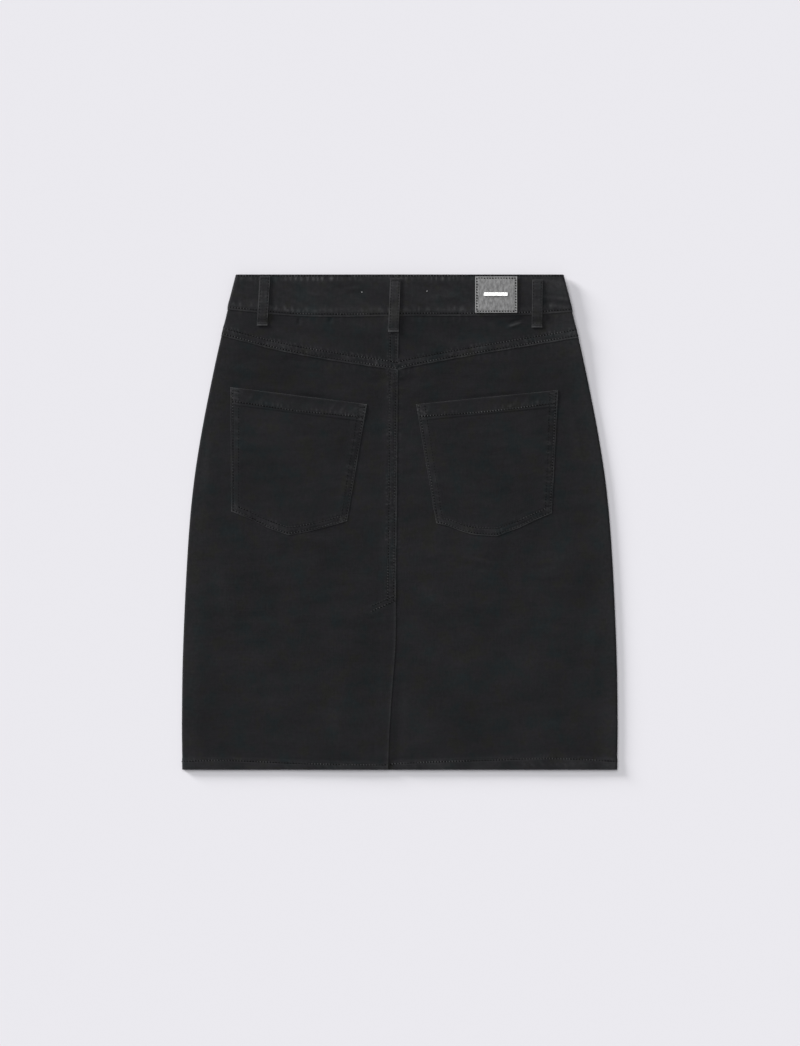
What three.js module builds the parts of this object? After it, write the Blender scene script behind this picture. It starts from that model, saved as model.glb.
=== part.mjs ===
// Black denim skirt laid flat on its front, with its back up.
// Millimetres. +Z is up, +Y points to the waist, +X to the wearer's right.
// The origin is at the middle of the skirt's outline, on the surface that it lies on.
// Every cloth piece is a wall with an outer and an inner side, worked out on one flattened tube.

import * as THREE from 'three';

const { clamp, degToRad, lerp, smoothstep } = THREE.MathUtils;

// Driving sizes of the whole skirt
const skirtLength = 530;
const waistTop = skirtLength / 2;
const hemLine = -skirtLength / 2;
const frontDip = 12;

// Walls, seams and the heights of the layers
const clothWall = 1.2;
const seamGap = 0.3;
const backHeight = 4.2;
const frontLift = 3.6;
const backLift = 3.0;
const liftStart = 120;
const liftEnd = 210;
const sideTuck = 7;

// Felled seams, hems and the soft rounding of an edge
const seamProud = 0.9;
const seamFlat = 8.5;
const seamEnd = 12.5;
const hemProud = 0.5;
const hemFlat = 10;
const hemEnd = 13;
const edgeDrop = 0.35;
const edgeRound = 0.8;

// Waistband
const bandProud = 1.0;
const bandWall = 2.2;
const bandLap = { end: 12, under: -26, wall: 1.4, rampStart: 30, rampEnd: 15 };

// Vent at the foot of the centre-back seam
const ventTop = -86;
const ventSlope = 0.46;
const underlapWidth = 38;

// Patch pockets
const pocketHemDepth = 18.5;
const pocketHemProud = 0.8;
const pocketTurned = 9;
const pocketTurnedProud = 0.35;

// Belt loops
const loopWidth = 11.4;
const loopWall = 1.5;
const loopBow = 0.8;
const tackLength = 3.2;
const tackProud = 0.4;

// Leather patch, its plain bar, and the waist button
const patch = { left: 80.8, right: 125.7, low: 223.9, high: 262.7, wall: 1.3 };
const bar = { left: 89.7, right: 115.7, middle: 243.9, height: 4, wall: 0.7 };
const button = { radius: 8.5, thickness: 2.1, rim: 1.2, dish: 0.5, sides: 32 };

// Half width of the skirt laid flat, by the distance down from the top of the waistband
const outlineTable = [
  { drop: 0, half: 174.4 },
  { drop: 45, half: 185.9 },
  { drop: 100, half: 198.5 },
  { drop: 165, half: 211.5 },
  { drop: 225, half: 220.8 },
  { drop: 290, half: 226.7 },
  { drop: 400, half: 232.0 },
  { drop: 480, half: 233.3 },
  { drop: 530, half: 232.7 },
];

// Seam under the waistband, on the back
const bandSeamTable = [
  { x: -190, y: 229.4 },
  { x: -156, y: 225.9 },
  { x: -113, y: 221.4 },
  { x: -60, y: 220.4 },
  { x: 0, y: 221.1 },
  { x: 78, y: 221.2 },
  { x: 133, y: 222.5 },
  { x: 190, y: 226.2 },
];

// Lower edge of each half of the yoke
const yokeTables = {
  left: [
    { x: -192, y: 199.6 },
    { x: -134, y: 184.4 },
    { x: -89, y: 175.5 },
    { x: 0, y: 161.7 },
  ],
  right: [
    { x: -5, y: 162.0 },
    { x: 22, y: 167.2 },
    { x: 78, y: 176.4 },
    { x: 192, y: 196.6 },
  ],
};

// Edge of the left panel, which laps over the right one down the centre back and along the vent
const centreTable = [
  { y: -265, x: -12.6 },
  { y: -224, x: -11.5 },
  { y: -183, x: -8.9 },
  { y: -150, x: -6.2 },
  { y: -122, x: -4.3 },
  { y: -86, x: -4.0 },
  { y: 0, x: -3.0 },
  { y: 130, x: -1.9 },
  { y: 265, x: -0.5 },
];

// Soft swells of the upper layer, each a round hill with its middle, height and reach
const swellTable = [
  { x: 0, y: 245, height: 1.7, across: 62, along: 62 },
  { x: -118, y: 70, height: 0.9, across: 62, along: 60 },
  { x: 100, y: 62, height: 0.8, across: 64, along: 66 },
  { x: -92, y: 186, height: 0.7, across: 44, along: 16 },
  { x: 62, y: -120, height: 1.1, across: 38, along: 120 },
  { x: -82, y: -150, height: 0.9, across: 42, along: 110 },
  { x: 152, y: -190, height: 1.0, across: 34, along: 90 },
  { x: -170, y: -90, height: 0.6, across: 30, along: 90 },
  { x: -10, y: -235, height: 0.8, across: 60, along: 46 },
];

// Corners of each patch pocket
const pocketTable = [
  {
    name: 'back_pocket_left',
    topLeft: [-182.5, 145.7],
    topRight: [-34.6, 127.4],
    lowRight: [-55.5, 4.4],
    tip: [-118.1, -13.0],
    lowLeft: [-180.8, 11.9],
  },
  {
    name: 'back_pocket_right',
    topLeft: [17.2, 126.2],
    topRight: [169.8, 141.3],
    lowRight: [163.3, 9.7],
    tip: [105.3, -14.7],
    lowLeft: [39.2, -1.3],
  },
];

// Belt loops: the middle of each end, and how far the seam under its lower end stands proud
const loopTable = [
  { name: 'belt_loop_back_left', face: 'back', topX: -144.0, topY: 263.4, lowX: -147.1, lowY: 209.9, seat: 0 },
  { name: 'belt_loop_back_centre', face: 'back', topX: -4.5, topY: 261.0, lowX: -6.7, lowY: 203.1, seat: seamProud },
  { name: 'belt_loop_back_right', face: 'back', topX: 147.5, topY: 259.4, lowX: 146.9, lowY: 207.8, seat: 0 },
  { name: 'belt_loop_front_left', face: 'front', topX: -92, topY: 253.6, lowX: -92, lowY: 203.0, seat: 0 },
  { name: 'belt_loop_front_right', face: 'front', topX: 92, topY: 253.6, lowX: 92, lowY: 203.0, seat: 0 },
];

// Materials
const denim = new THREE.MeshStandardMaterial({ color: 0x26282a, roughness: 0.92, metalness: 0 });
const leather = new THREE.MeshStandardMaterial({ color: 0x6b6a69, roughness: 0.6, metalness: 0 });
const steel = new THREE.MeshStandardMaterial({ color: 0xd9d9d6, roughness: 0.3, metalness: 1 });

// A smooth curve through the rows of a table, read at a place in one column
function curveThrough(rows, along, value, place) {
  const last = rows.length - 1;
  const held = clamp(place, rows[0][along], rows[last][along]);
  const next = Math.max(rows.findIndex((row) => row[along] >= held), 1);
  const slopeAt = (index) => {
    const before = rows[Math.max(index - 1, 0)];
    const after = rows[Math.min(index + 1, last)];
    return (after[value] - before[value]) / (after[along] - before[along]);
  };
  const from = rows[next - 1];
  const to = rows[next];
  const span = to[along] - from[along];
  const t = (held - from[along]) / span;
  const ends = from[value] * (1 + 2 * t) * (1 - t) ** 2 + to[value] * (3 - 2 * t) * t ** 2;
  const slopes = slopeAt(next - 1) * t * (1 - t) ** 2 - slopeAt(next) * t ** 2 * (1 - t);
  return ends + slopes * span;
}

// The flattened tube that all pieces are worked out on
function halfWidth(y) {
  return curveThrough(outlineTable, 'drop', 'half', waistTop - y);
}

function frontLevel(y) {
  return frontLift * smoothstep(y, liftStart, liftEnd);
}

function backLevel(y) {
  return backHeight + backLift * smoothstep(y, liftStart, liftEnd);
}

function foldRadius(y) {
  return (backLevel(y) - frontLevel(y)) / 2;
}

function flatHalf(y) {
  return halfWidth(y) - foldRadius(y);
}

function swell(x, y) {
  const calmNearFold = smoothstep(flatHalf(y) - Math.abs(x), 0, 45);
  let height = 0;
  for (const hill of swellTable) {
    const away = ((x - hill.x) / hill.across) ** 2 + ((y - hill.y) / hill.along) ** 2;
    height += hill.height * Math.exp(-away);
  }
  return height * calmNearFold;
}

// A point on or over the skirt's outer skin. It runs from the centre back round the side fold to the underside
function backSkin(side, run, y, out) {
  const radius = foldRadius(y);
  const flat = flatHalf(y);
  const middle = frontLevel(y) + radius;
  const turn = (run - flat) / radius;
  if (turn <= 0) {
    return new THREE.Vector3(side * run, y, middle + radius + swell(side * run, y) + out);
  }
  if (turn < Math.PI) {
    const reach = radius + out;
    return new THREE.Vector3(side * (flat + reach * Math.sin(turn)), y, middle + reach * Math.cos(turn));
  }
  return new THREE.Vector3(side * (flat - (turn - Math.PI) * radius), y, middle - radius - out);
}

function frontSkin(x, y, out) {
  return new THREE.Vector3(x, y, frontLevel(y) - out);
}

// Seam lines
function bandSeam(x) {
  return curveThrough(bandSeamTable, 'x', 'y', x);
}

function yokeEdge(side, x) {
  return curveThrough(side < 0 ? yokeTables.left : yokeTables.right, 'x', 'y', x);
}

function centreEdge(y) {
  return curveThrough(centreTable, 'y', 'x', y);
}

function frontFall(x) {
  return frontDip * (1 - (x / halfWidth(waistTop)) ** 2);
}

function frontTop(x) {
  return waistTop - frontFall(x);
}

function frontBandSeam(x) {
  const reach = flatHalf(liftEnd);
  const level = lerp(bandSeam(-reach), bandSeam(reach), (x / reach + 1) / 2);
  return level - frontFall(x);
}

// Heights near an edge: a raised felled seam, a hem, and the soft rounding of a cut edge
function felledRise(distance) {
  return seamProud * (1 - smoothstep(distance, seamFlat, seamEnd));
}

function hemRise(y) {
  return hemProud * (1 - smoothstep(y - hemLine, hemFlat, hemEnd));
}

function edgeFall(...distances) {
  const nearest = Math.min(...distances);
  return -edgeDrop * (1 - smoothstep(nearest, 0, edgeRound));
}

// What stands proud on the back goes over to the inner side round the fold, so the underside stays flat
function keptOutside(run, y) {
  const turn = clamp((run - flatHalf(y)) / foldRadius(y), 0, Math.PI);
  return Math.cos(turn / 2) ** 2;
}

// One closed wall from a grid of outer and inner points
function closedWall(columns, rows, place) {
  const across = columns.length;
  const up = rows.length;
  const layer = across * up;
  const positions = [];
  const grid = rows.map((row) => columns.map((column) => place(column, row)));
  for (const side of ['outer', 'inner']) {
    for (const points of grid) {
      for (const point of points) {
        positions.push(...point[side].toArray());
      }
    }
  }
  const index = [];
  const addQuad = (a, b, c, d) => index.push(a, b, c, a, c, d);
  for (let row = 0; row < up - 1; row += 1) {
    for (let column = 0; column < across - 1; column += 1) {
      const a = row * across + column;
      const b = a + 1;
      const c = b + across;
      const d = a + across;
      addQuad(a, b, c, d);
      addQuad(layer + d, layer + c, layer + b, layer + a);
    }
  }
  const rim = [];
  for (let column = 0; column < across - 1; column += 1) rim.push(column);
  for (let row = 0; row < up - 1; row += 1) rim.push(row * across + across - 1);
  for (let column = across - 1; column > 0; column -= 1) rim.push((up - 1) * across + column);
  for (let row = up - 1; row > 0; row -= 1) rim.push(row * across);
  rim.forEach((from, order) => {
    const to = rim[(order + 1) % rim.length];
    addQuad(to, from, layer + from, layer + to);
  });
  return facingOut(positions, index);
}

// Turn the faces round where the grid was mirrored, so that they all point out of the wall
function facingOut(positions, index) {
  const corner = (number) => new THREE.Vector3().fromArray(positions, 3 * number);
  let volume = 0;
  for (let first = 0; first < index.length; first += 3) {
    const [a, b, c] = index.slice(first, first + 3).map(corner);
    volume += a.dot(b.cross(c));
  }
  if (volume < 0) index.reverse();
  const geometry = new THREE.BufferGeometry();
  geometry.setAttribute('position', new THREE.Float32BufferAttribute(positions, 3));
  geometry.setIndex(index);
  geometry.computeVertexNormals();
  return geometry;
}

// Columns across half of the back, each a function that gives its run from the centre at a height.
// They go out from the piece's edge, over the middle, round the fold and under to the side seam.
const foldTurns = [0, 30, 60, 90, 120, 150, 180].map(degToRad);

function columnsToSideSeam(steps, shares) {
  const lastStep = steps[steps.length - 1];
  return [
    ...steps,
    ...shares.map((share) => (y) => lerp(lastStep(y), flatHalf(y), share)),
    ...foldTurns.map((turn) => (y) => flatHalf(y) + turn * foldRadius(y)),
    (y) => flatHalf(y) + Math.PI * foldRadius(y) + sideTuck,
  ];
}

// Where a column meets a row, when the row's height depends on its place across
function meeting(side, column, row) {
  let y = 0;
  for (let pass = 0; pass < 5; pass += 1) {
    y = row(side * Math.min(column(y), flatHalf(y)));
  }
  return { run: column(y), y };
}

function wallOnBack(side, columns, rows, shape) {
  return closedWall(columns, rows, (column, row) => {
    const { run, y } = meeting(side, column, row);
    const { out, wall } = shape(run, y);
    return { outer: backSkin(side, run, y, out), inner: backSkin(side, run, y, out - wall) };
  });
}

// Rows of a panel: level along the hem, and bent more and more to follow the seam at its top
function panelRows(levels, topEdge) {
  const bendStart = -70;
  const nominalTop = levels[levels.length - 1];
  return levels.map((level) => (x) => {
    const bend = smoothstep(level, bendStart, nominalTop);
    return level + (topEdge(x) - nominalTop) * bend;
  });
}

const hemLevels = [hemLine, hemLine + edgeRound, hemLine + hemFlat, hemLine + hemEnd];

// Back panels. The left one laps over the right one, which has the vent's underlap
function ventShoulder(x) {
  return ventTop + ventSlope * (x - centreEdge(ventTop));
}

function liftOverUnderlap(x, y) {
  const acrossShare = smoothstep(x, centreEdge(y) - underlapWidth - 13, centreEdge(y) - underlapWidth - 4);
  const downShare = 1 - smoothstep(y, ventShoulder(x) + 4, ventShoulder(x) + 15);
  return (clothWall + seamGap) * acrossShare * downShare;
}

function backPanelLeft() {
  const steps = [0, edgeRound, seamFlat, seamEnd, 24, 33, 38, 43, 47, 52];
  const edgeColumns = steps.map((step) => (y) => step - centreEdge(y));
  const columns = columnsToSideSeam(edgeColumns, [0.16, 0.33, 0.5, 0.67, 0.84]);
  const levels = [
    ...hemLevels, -235, -205, -175, -148, -125, -110, -101, -94, -87, -80, -72, -60,
    -35, -5, 25, 55, 85, 115, 140, 162 - seamGap,
  ];
  const rows = panelRows(levels, (x) => yokeEdge(-1, x) - seamGap);
  return wallOnBack(-1, columns, rows, (run, y) => {
    const fromCentre = run + centreEdge(y);
    const proud = Math.max(felledRise(fromCentre), hemRise(y));
    const shown = keptOutside(run, y);
    const eased = edgeFall(fromCentre, y - hemLine) * shown;
    return {
      out: proud * shown + liftOverUnderlap(-run, y) + eased,
      wall: clothWall + proud + eased,
    };
  });
}

function backPanelRight() {
  const underlapEdge = (y) => {
    const open = smoothstep(ventTop - y, 0, underlapWidth * ventSlope);
    return centreEdge(y) + seamGap - open * underlapWidth;
  };
  const nearSeam = 6;
  const lapShares = [0, 0.25, 0.5, 0.75];
  const lapColumns = lapShares.map((share) => (y) => lerp(underlapEdge(y), centreEdge(y) + nearSeam, share));
  const steps = [nearSeam, 20, 38, 58].map((step) => (y) => centreEdge(y) + step);
  const columns = columnsToSideSeam([...lapColumns, ...steps], [0.16, 0.33, 0.5, 0.67, 0.84]);
  const levels = [
    ...hemLevels, -235, -205, -175, -148, -125, -112, -104, -98, -92, ventTop, -72,
    -40, -5, 25, 55, 85, 115, 140, 162 - seamGap,
  ];
  const rows = panelRows(levels, (x) => yokeEdge(1, x) - seamGap);
  return wallOnBack(1, columns, rows, (run, y) => {
    const shown = keptOutside(run, y);
    const fromEdge = run - centreEdge(y);
    const folded = hemRise(y) * smoothstep(fromEdge, 4, 8);
    const eased = edgeFall(y - hemLine) * shown;
    return { out: folded * shown + eased, wall: clothWall + folded + eased };
  });
}

// Yoke halves. Their lower edges lap over the panels, and the left half laps over the right one
function backYoke(side) {
  const isLeft = side < 0;
  const edge = (y) => (isLeft ? -centreEdge(y) : centreEdge(y) + seamGap);
  const steps = [0, edgeRound, seamFlat, seamEnd].map((step) => (y) => edge(y) + step);
  const columns = columnsToSideSeam(steps, [0.12, 0.25, 0.4, 0.55, 0.7, 0.85]);
  const low = (x) => yokeEdge(side, x);
  const high = (x) => bandSeam(x) - seamGap;
  const rows = [
    ...[0, edgeRound, seamFlat, seamEnd].map((step) => (x) => low(x) + step),
    ...[0.33, 0.67, 1].map((share) => (x) => lerp(low(x) + seamEnd, high(x), share)),
  ];
  return wallOnBack(side, columns, rows, (run, y) => {
    const x = side * Math.min(run, flatHalf(y));
    const fromCentre = run - edge(y);
    const fromLow = y - low(x);
    const centreRise = isLeft ? felledRise(fromCentre) : 0;
    const proud = Math.max(centreRise, felledRise(fromLow));
    const shown = keptOutside(run, y);
    const eased = edgeFall(isLeft ? Math.min(fromCentre, fromLow) : fromLow) * shown;
    return { out: proud * shown + eased, wall: clothWall + proud * shown + eased };
  });
}

// Waistband on the back, in one piece from side seam to side seam
function backWaistband() {
  const sideShares = [0.12, 0.24, 0.36, 0.48, 0.6, 0.72, 0.84, 0.94];
  const halfColumns = columnsToSideSeam([() => 0], sideShares);
  const columns = [
    ...halfColumns.slice(1).reverse().map((reach) => ({ side: -1, reach })),
    ...halfColumns.map((reach) => ({ side: 1, reach })),
  ];
  const rows = bandRows(bandSeam, () => waistTop);
  return closedWall(columns, rows, ({ side, reach }, row) => {
    const { run, y } = meeting(side, reach, row);
    const x = side * Math.min(run, flatHalf(y));
    const eased = edgeFall(y - bandSeam(x), waistTop - y);
    const out = bandProud + eased;
    return {
      outer: backSkin(side, run, y, out),
      inner: backSkin(side, run, y, out - bandWall - 2 * eased),
    };
  });
}

function bandRows(low, high) {
  return [
    low,
    (x) => low(x) + edgeRound,
    (x) => lerp(low(x), high(x), 0.35),
    (x) => lerp(low(x), high(x), 0.7),
    (x) => high(x) - edgeRound,
    high,
  ];
}

// Patch pockets, made from the panels' points moved out, with a doubled hem along the top
function backPocket(corners) {
  const { topLeft, topRight, lowLeft, tip, lowRight } = corners;
  const tipShare = (tip[0] - lowLeft[0]) / (lowRight[0] - lowLeft[0]);
  const width = lowRight[0] - lowLeft[0];
  const edgeShares = [0, edgeRound / width, pocketTurned / width, (pocketTurned + 3) / width];
  const shares = [
    ...edgeShares, 0.25, tipShare - 0.05, tipShare, tipShare + 0.05, 0.75,
    ...edgeShares.map((share) => 1 - share).reverse(),
  ];
  const lowEdge = (share) => {
    const onLeft = share < tipShare;
    const from = onLeft ? lowLeft : tip;
    const to = onLeft ? tip : lowRight;
    const along = onLeft ? share / tipShare : (share - tipShare) / (1 - tipShare);
    return [lerp(from[0], to[0], along), lerp(from[1], to[1], along)];
  };
  const highEdge = (share) => [lerp(topLeft[0], topRight[0], share), lerp(topLeft[1], topRight[1], share)];
  const heights = [
    { fromLow: 0 }, { fromLow: edgeRound }, { fromLow: pocketTurned }, { fromLow: pocketTurned + 3 },
    { share: 0.25 }, { share: 0.5 }, { share: 0.75 },
    { fromHigh: pocketHemDepth + 1 }, { fromHigh: pocketHemDepth }, { fromHigh: edgeRound }, { fromHigh: 0 },
  ];
  return closedWall(shares, heights, (share, height) => {
    const [lowX, lowY] = lowEdge(share);
    const [highX, highY] = highEdge(share);
    const tall = highY - lowY;
    const from = pocketTurned + 3;
    const middle = from + (height.share ?? 0) * (tall - from - pocketHemDepth);
    const up = height.fromLow ?? (height.fromHigh === undefined ? middle : tall - height.fromHigh);
    const x = lerp(lowX, highX, up / tall);
    const y = lowY + up;
    const fromSide = Math.min(share, 1 - share) * width;
    const turned = pocketTurnedProud * (1 - smoothstep(Math.min(fromSide, up), pocketTurned, pocketTurned + 3));
    const hemmed = pocketHemProud * smoothstep(up, tall - pocketHemDepth - 1, tall - pocketHemDepth);
    const thick = clothWall + Math.max(turned, hemmed) + edgeFall(fromSide, up, tall - up);
    const side = Math.sign(x);
    return {
      outer: backSkin(side, Math.abs(x), y, seamGap + thick),
      inner: backSkin(side, Math.abs(x), y, seamGap),
    };
  });
}

// A flat piece sewn or fixed on the back: its points are the skin's, moved out
function pieceOverBack(columns, rows, base, wall) {
  const left = columns[0];
  const right = columns[columns.length - 1];
  const low = rows[0];
  const high = rows[rows.length - 1];
  return closedWall(columns, rows, (x, y) => {
    const thick = wall + edgeFall(x - left, right - x, y - low, high - y);
    return {
      outer: backSkin(1, x, y, base + thick),
      inner: backSkin(1, x, y, base),
    };
  });
}

function waistPatch() {
  const { left, right, low, high, wall } = patch;
  const columns = [left, left + edgeRound, lerp(left, right, 0.35), lerp(left, right, 0.65), right - edgeRound, right];
  const rows = [low, low + edgeRound, lerp(low, high, 0.5), high - edgeRound, high];
  return pieceOverBack(columns, rows, bandProud + seamGap, wall);
}

function patchBar() {
  const { left, right, middle, height, wall } = bar;
  const columns = [left, left + edgeRound, lerp(left, right, 0.5), right - edgeRound, right];
  const half = height / 2;
  const rows = [middle - half, middle - half + edgeRound, middle + half - edgeRound, middle + half];
  return pieceOverBack(columns, rows, bandProud + patch.wall + 2 * seamGap, wall);
}

// Belt loops, sewn down at both ends and bowed between them
function beltLoop({ face, topX, topY, lowX, lowY, seat }) {
  const half = loopWidth / 2;
  const columns = [-half, -half + edgeRound, 0, half - edgeRound, half];
  const length = topY - lowY;
  const rows = [
    0, edgeRound, tackLength, tackLength + 1.5, 0.18 * length, 0.3 * length, 0.45 * length, 0.6 * length,
    0.75 * length, 0.88 * length, length - edgeRound, length,
  ];
  const seamAt = face === 'back' ? bandSeam : frontBandSeam;
  return closedWall(columns, rows, (across, up) => {
    const x = lerp(lowX, topX, up / length) + across;
    const y = lowY + up;
    const onBand = smoothstep(y, seamAt(x) - 8, seamAt(x) - 1.5);
    const bow = loopBow * Math.sin(Math.PI * up / length);
    const base = seamGap + Math.max(seat, bandProud * onBand) + bow;
    const tack = tackProud * (1 - smoothstep(up, tackLength, tackLength + 1.5));
    const thick = loopWall + tack + edgeFall(half - Math.abs(across), up, length - up);
    const skin = face === 'back' ? (out) => backSkin(1, x, y, out) : (out) => frontSkin(x, y, out);
    return { outer: skin(base + thick), inner: skin(base) };
  });
}

// Front panels, on the surface that the skirt lies on. The left one laps over the right one
function frontPanel(side) {
  const isLeft = side < 0;
  const outerEdge = (y) => flatHalf(y) - sideTuck - seamGap;
  const centre = isLeft ? 0 : seamGap;
  const steps = [0, seamFlat, seamEnd].map((step) => () => centre + step);
  const shares = [0.25, 0.5, 0.75, 1];
  const columns = [...steps, ...shares.map((share) => (y) => lerp(centre + seamEnd, outerEdge(y), share))];
  const levels = [
    hemLine, hemLine + hemFlat, hemLine + hemEnd, -180, -100, -20, 50, 100,
    120, 135, 150, 165, 180, 195, 213 - seamGap,
  ];
  const rows = panelRows(levels, (x) => frontBandSeam(x) - seamGap);
  return closedWall(columns, rows, (column, row) => {
    const { run, y } = meeting(side, column, row);
    const felled = (hemProud / seamProud) * felledRise(run - centre);
    const thick = clothWall + Math.max(isLeft ? felled : 0, hemRise(y) * (isLeft ? 1 : smoothstep(run, 6, 14)));
    const raised = isLeft ? 0 : felled;
    return {
      outer: frontSkin(side * run, y, -raised),
      inner: frontSkin(side * run, y, -raised - thick),
    };
  });
}

// Front halves of the waistband. The right half goes on inside the left one, where the button holds it
function frontWaistband(side) {
  const isLeft = side < 0;
  const places = isLeft
    ? [bandLap.end, bandLap.end - edgeRound, -10, -50, -90, -130]
    : [bandLap.under, -10, 0, bandLap.rampEnd, 20, 25, bandLap.rampStart, 60, 95, 130];
  const columns = [...places.map((place) => () => side * place), (y) => flatHalf(y) - sideTuck - seamGap];
  const rows = bandRows(frontBandSeam, frontTop);
  return closedWall(columns, rows, (column, row) => {
    const { run, y } = meeting(side, column, row);
    const x = side * run;
    const under = isLeft ? 0 : 1 - smoothstep(x, bandLap.rampEnd, bandLap.rampStart);
    const eased = edgeFall(y - frontBandSeam(x), frontTop(x) - y);
    const out = bandProud - under * (bandWall + seamGap);
    const wall = lerp(bandWall, bandLap.wall, under);
    return { outer: frontSkin(x, y, out + eased), inner: frontSkin(x, y, out - wall - eased) };
  });
}

// Plain shank button at the front of the waistband: a dished head turned round its axis
function waistButton() {
  const { radius, thickness, rim, dish, sides } = button;
  const profile = [
    new THREE.Vector2(0, 0),
    new THREE.Vector2(radius - 0.4, 0),
    new THREE.Vector2(radius, 0.5),
    new THREE.Vector2(radius, thickness - 0.6),
    new THREE.Vector2(radius - 0.5, thickness),
    new THREE.Vector2(radius - rim, thickness),
    new THREE.Vector2(radius - rim - 0.5, thickness - dish),
    new THREE.Vector2(0, thickness - dish),
  ];
  const geometry = new THREE.LatheGeometry(profile, sides);
  geometry.rotateX(-Math.PI / 2);
  return geometry;
}

// The parts put together
const skirt = new THREE.Group();

function addPiece(name, geometry, material) {
  const mesh = new THREE.Mesh(geometry, material);
  mesh.name = name;
  skirt.add(mesh);
  return mesh;
}

addPiece('front_panel_left', frontPanel(-1), denim);
addPiece('front_panel_right', frontPanel(1), denim);
addPiece('back_panel_left', backPanelLeft(), denim);
addPiece('back_panel_right', backPanelRight(), denim);
addPiece('back_yoke_left', backYoke(-1), denim);
addPiece('back_yoke_right', backYoke(1), denim);
addPiece('front_waistband_left', frontWaistband(-1), denim);
addPiece('front_waistband_right', frontWaistband(1), denim);
addPiece('back_waistband', backWaistband(), denim);
for (const corners of pocketTable) addPiece(corners.name, backPocket(corners), denim);
for (const loop of loopTable) addPiece(loop.name, beltLoop(loop), denim);
addPiece('waist_patch', waistPatch(), leather);
addPiece('patch_bar', patchBar(), steel);
const waistButtonMesh = addPiece('waist_button', waistButton(), steel);
waistButtonMesh.position.set(0, lerp(frontBandSeam(0), frontTop(0), 0.5), frontLift - bandProud - seamGap);

export default skirt;
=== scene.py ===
import math

import bmesh
import bpy
from mathutils import Matrix, Vector, noise


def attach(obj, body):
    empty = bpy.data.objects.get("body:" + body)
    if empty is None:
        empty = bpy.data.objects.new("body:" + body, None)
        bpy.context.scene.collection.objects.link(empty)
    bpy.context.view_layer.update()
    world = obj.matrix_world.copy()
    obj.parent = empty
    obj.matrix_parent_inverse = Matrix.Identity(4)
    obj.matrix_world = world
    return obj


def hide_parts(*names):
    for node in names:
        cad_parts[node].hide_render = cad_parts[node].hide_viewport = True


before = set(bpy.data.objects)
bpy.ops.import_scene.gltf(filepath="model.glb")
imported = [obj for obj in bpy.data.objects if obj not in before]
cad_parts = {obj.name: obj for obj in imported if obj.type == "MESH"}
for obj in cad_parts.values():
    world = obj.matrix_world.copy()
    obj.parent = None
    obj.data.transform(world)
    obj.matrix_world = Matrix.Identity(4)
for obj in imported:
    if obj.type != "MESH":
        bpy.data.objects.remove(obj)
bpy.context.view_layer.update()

# The camera
# It looks straight down on the skirt, as the photograph does, through a long lens, so that the
# cloth's edges don't lean. The waist is at the top of the picture.
PICTURE_TALL = 1.119
PICTURE_MIDDLE = (0.0003, -0.0009)
CAMERA_HEIGHT = 6.0
CLOTH_HEIGHT = 0.008
FILM = 36.0

camera_data = bpy.data.cameras.new("camera")
camera_data.sensor_width = FILM
camera_data.lens = FILM * (CAMERA_HEIGHT - CLOTH_HEIGHT) / PICTURE_TALL
camera_data.clip_end = 20.0
camera = bpy.data.objects.new("camera", camera_data)
camera.location = (*PICTURE_MIDDLE, CAMERA_HEIGHT)
bpy.context.scene.collection.objects.link(camera)
bpy.context.scene.camera = camera


# The surface and the studio light
# The skirt lies on plain pale paper. A low soft lamp stands at the upper left, which throws the soft
# shadow to the lower right, and a wide soft light comes from overhead.
PAPER_REACH = 3.0
PAPER_COLOUR = (0.796, 0.784, 0.819, 1)
LOW_LAMP = {"power": 4.3, "height": 14.5, "from": 145.0, "softness": 18.0}
HIGH_LAMP = {"power": 1.7, "height": 70.0, "from": 120.0, "softness": 50.0}
ROOM_COLOUR = (0.95, 0.97, 1.0, 1)
ROOM_POWER = 0.2


def add_lamp(name, power, height, softness, **places):
    """A distant soft lamp, by its height over the surface and the side that it stands at, in degrees"""
    lamp = bpy.data.lights.new(name, "SUN")
    lamp.energy = power
    lamp.angle = math.radians(softness)
    holder = bpy.data.objects.new(name, lamp)
    turn = math.radians(places["from"])
    rise = math.radians(height)
    towards = Vector((math.cos(turn) * math.cos(rise), math.sin(turn) * math.cos(rise), math.sin(rise)))
    holder.rotation_euler = towards.to_track_quat("Z", "Y").to_euler()
    bpy.context.scene.collection.objects.link(holder)


add_lamp("low_lamp", **LOW_LAMP)
add_lamp("high_lamp", **HIGH_LAMP)

room = bpy.data.worlds.new("room")
room.use_nodes = True
room.node_tree.nodes["Background"].inputs["Color"].default_value = ROOM_COLOUR
room.node_tree.nodes["Background"].inputs["Strength"].default_value = ROOM_POWER
bpy.context.scene.world = room
bpy.context.scene.view_settings.view_transform = "Standard"


def placed(name, bm, smooth=True):
    """An object at the origin, made from a bmesh"""
    for face in bm.faces:
        face.smooth = smooth
    mesh = bpy.data.meshes.new(name)
    bm.to_mesh(mesh)
    bm.free()
    thing = bpy.data.objects.new(name, mesh)
    bpy.context.scene.collection.objects.link(thing)
    return thing


def new_material(name, values):
    """A material, its node tree and its shader, with plain values on the shader's own sockets"""
    material = bpy.data.materials.new(name)
    material.use_nodes = True
    shader = material.node_tree.nodes["Principled BSDF"]
    for socket, value in values.items():
        shader.inputs[socket].default_value = value
    return material, material.node_tree, shader


paper_bm = bmesh.new()
bmesh.ops.create_grid(paper_bm, x_segments=1, y_segments=1, size=PAPER_REACH)
paper = placed("paper", paper_bm, smooth=False)
paper.location.z = -0.0002
paper_material, _, _ = new_material(
    "pale_paper", {"Base Color": PAPER_COLOUR, "Roughness": 0.95, "Specular IOR Level": 0.0}
)
paper.data.materials.append(paper_material)


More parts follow.
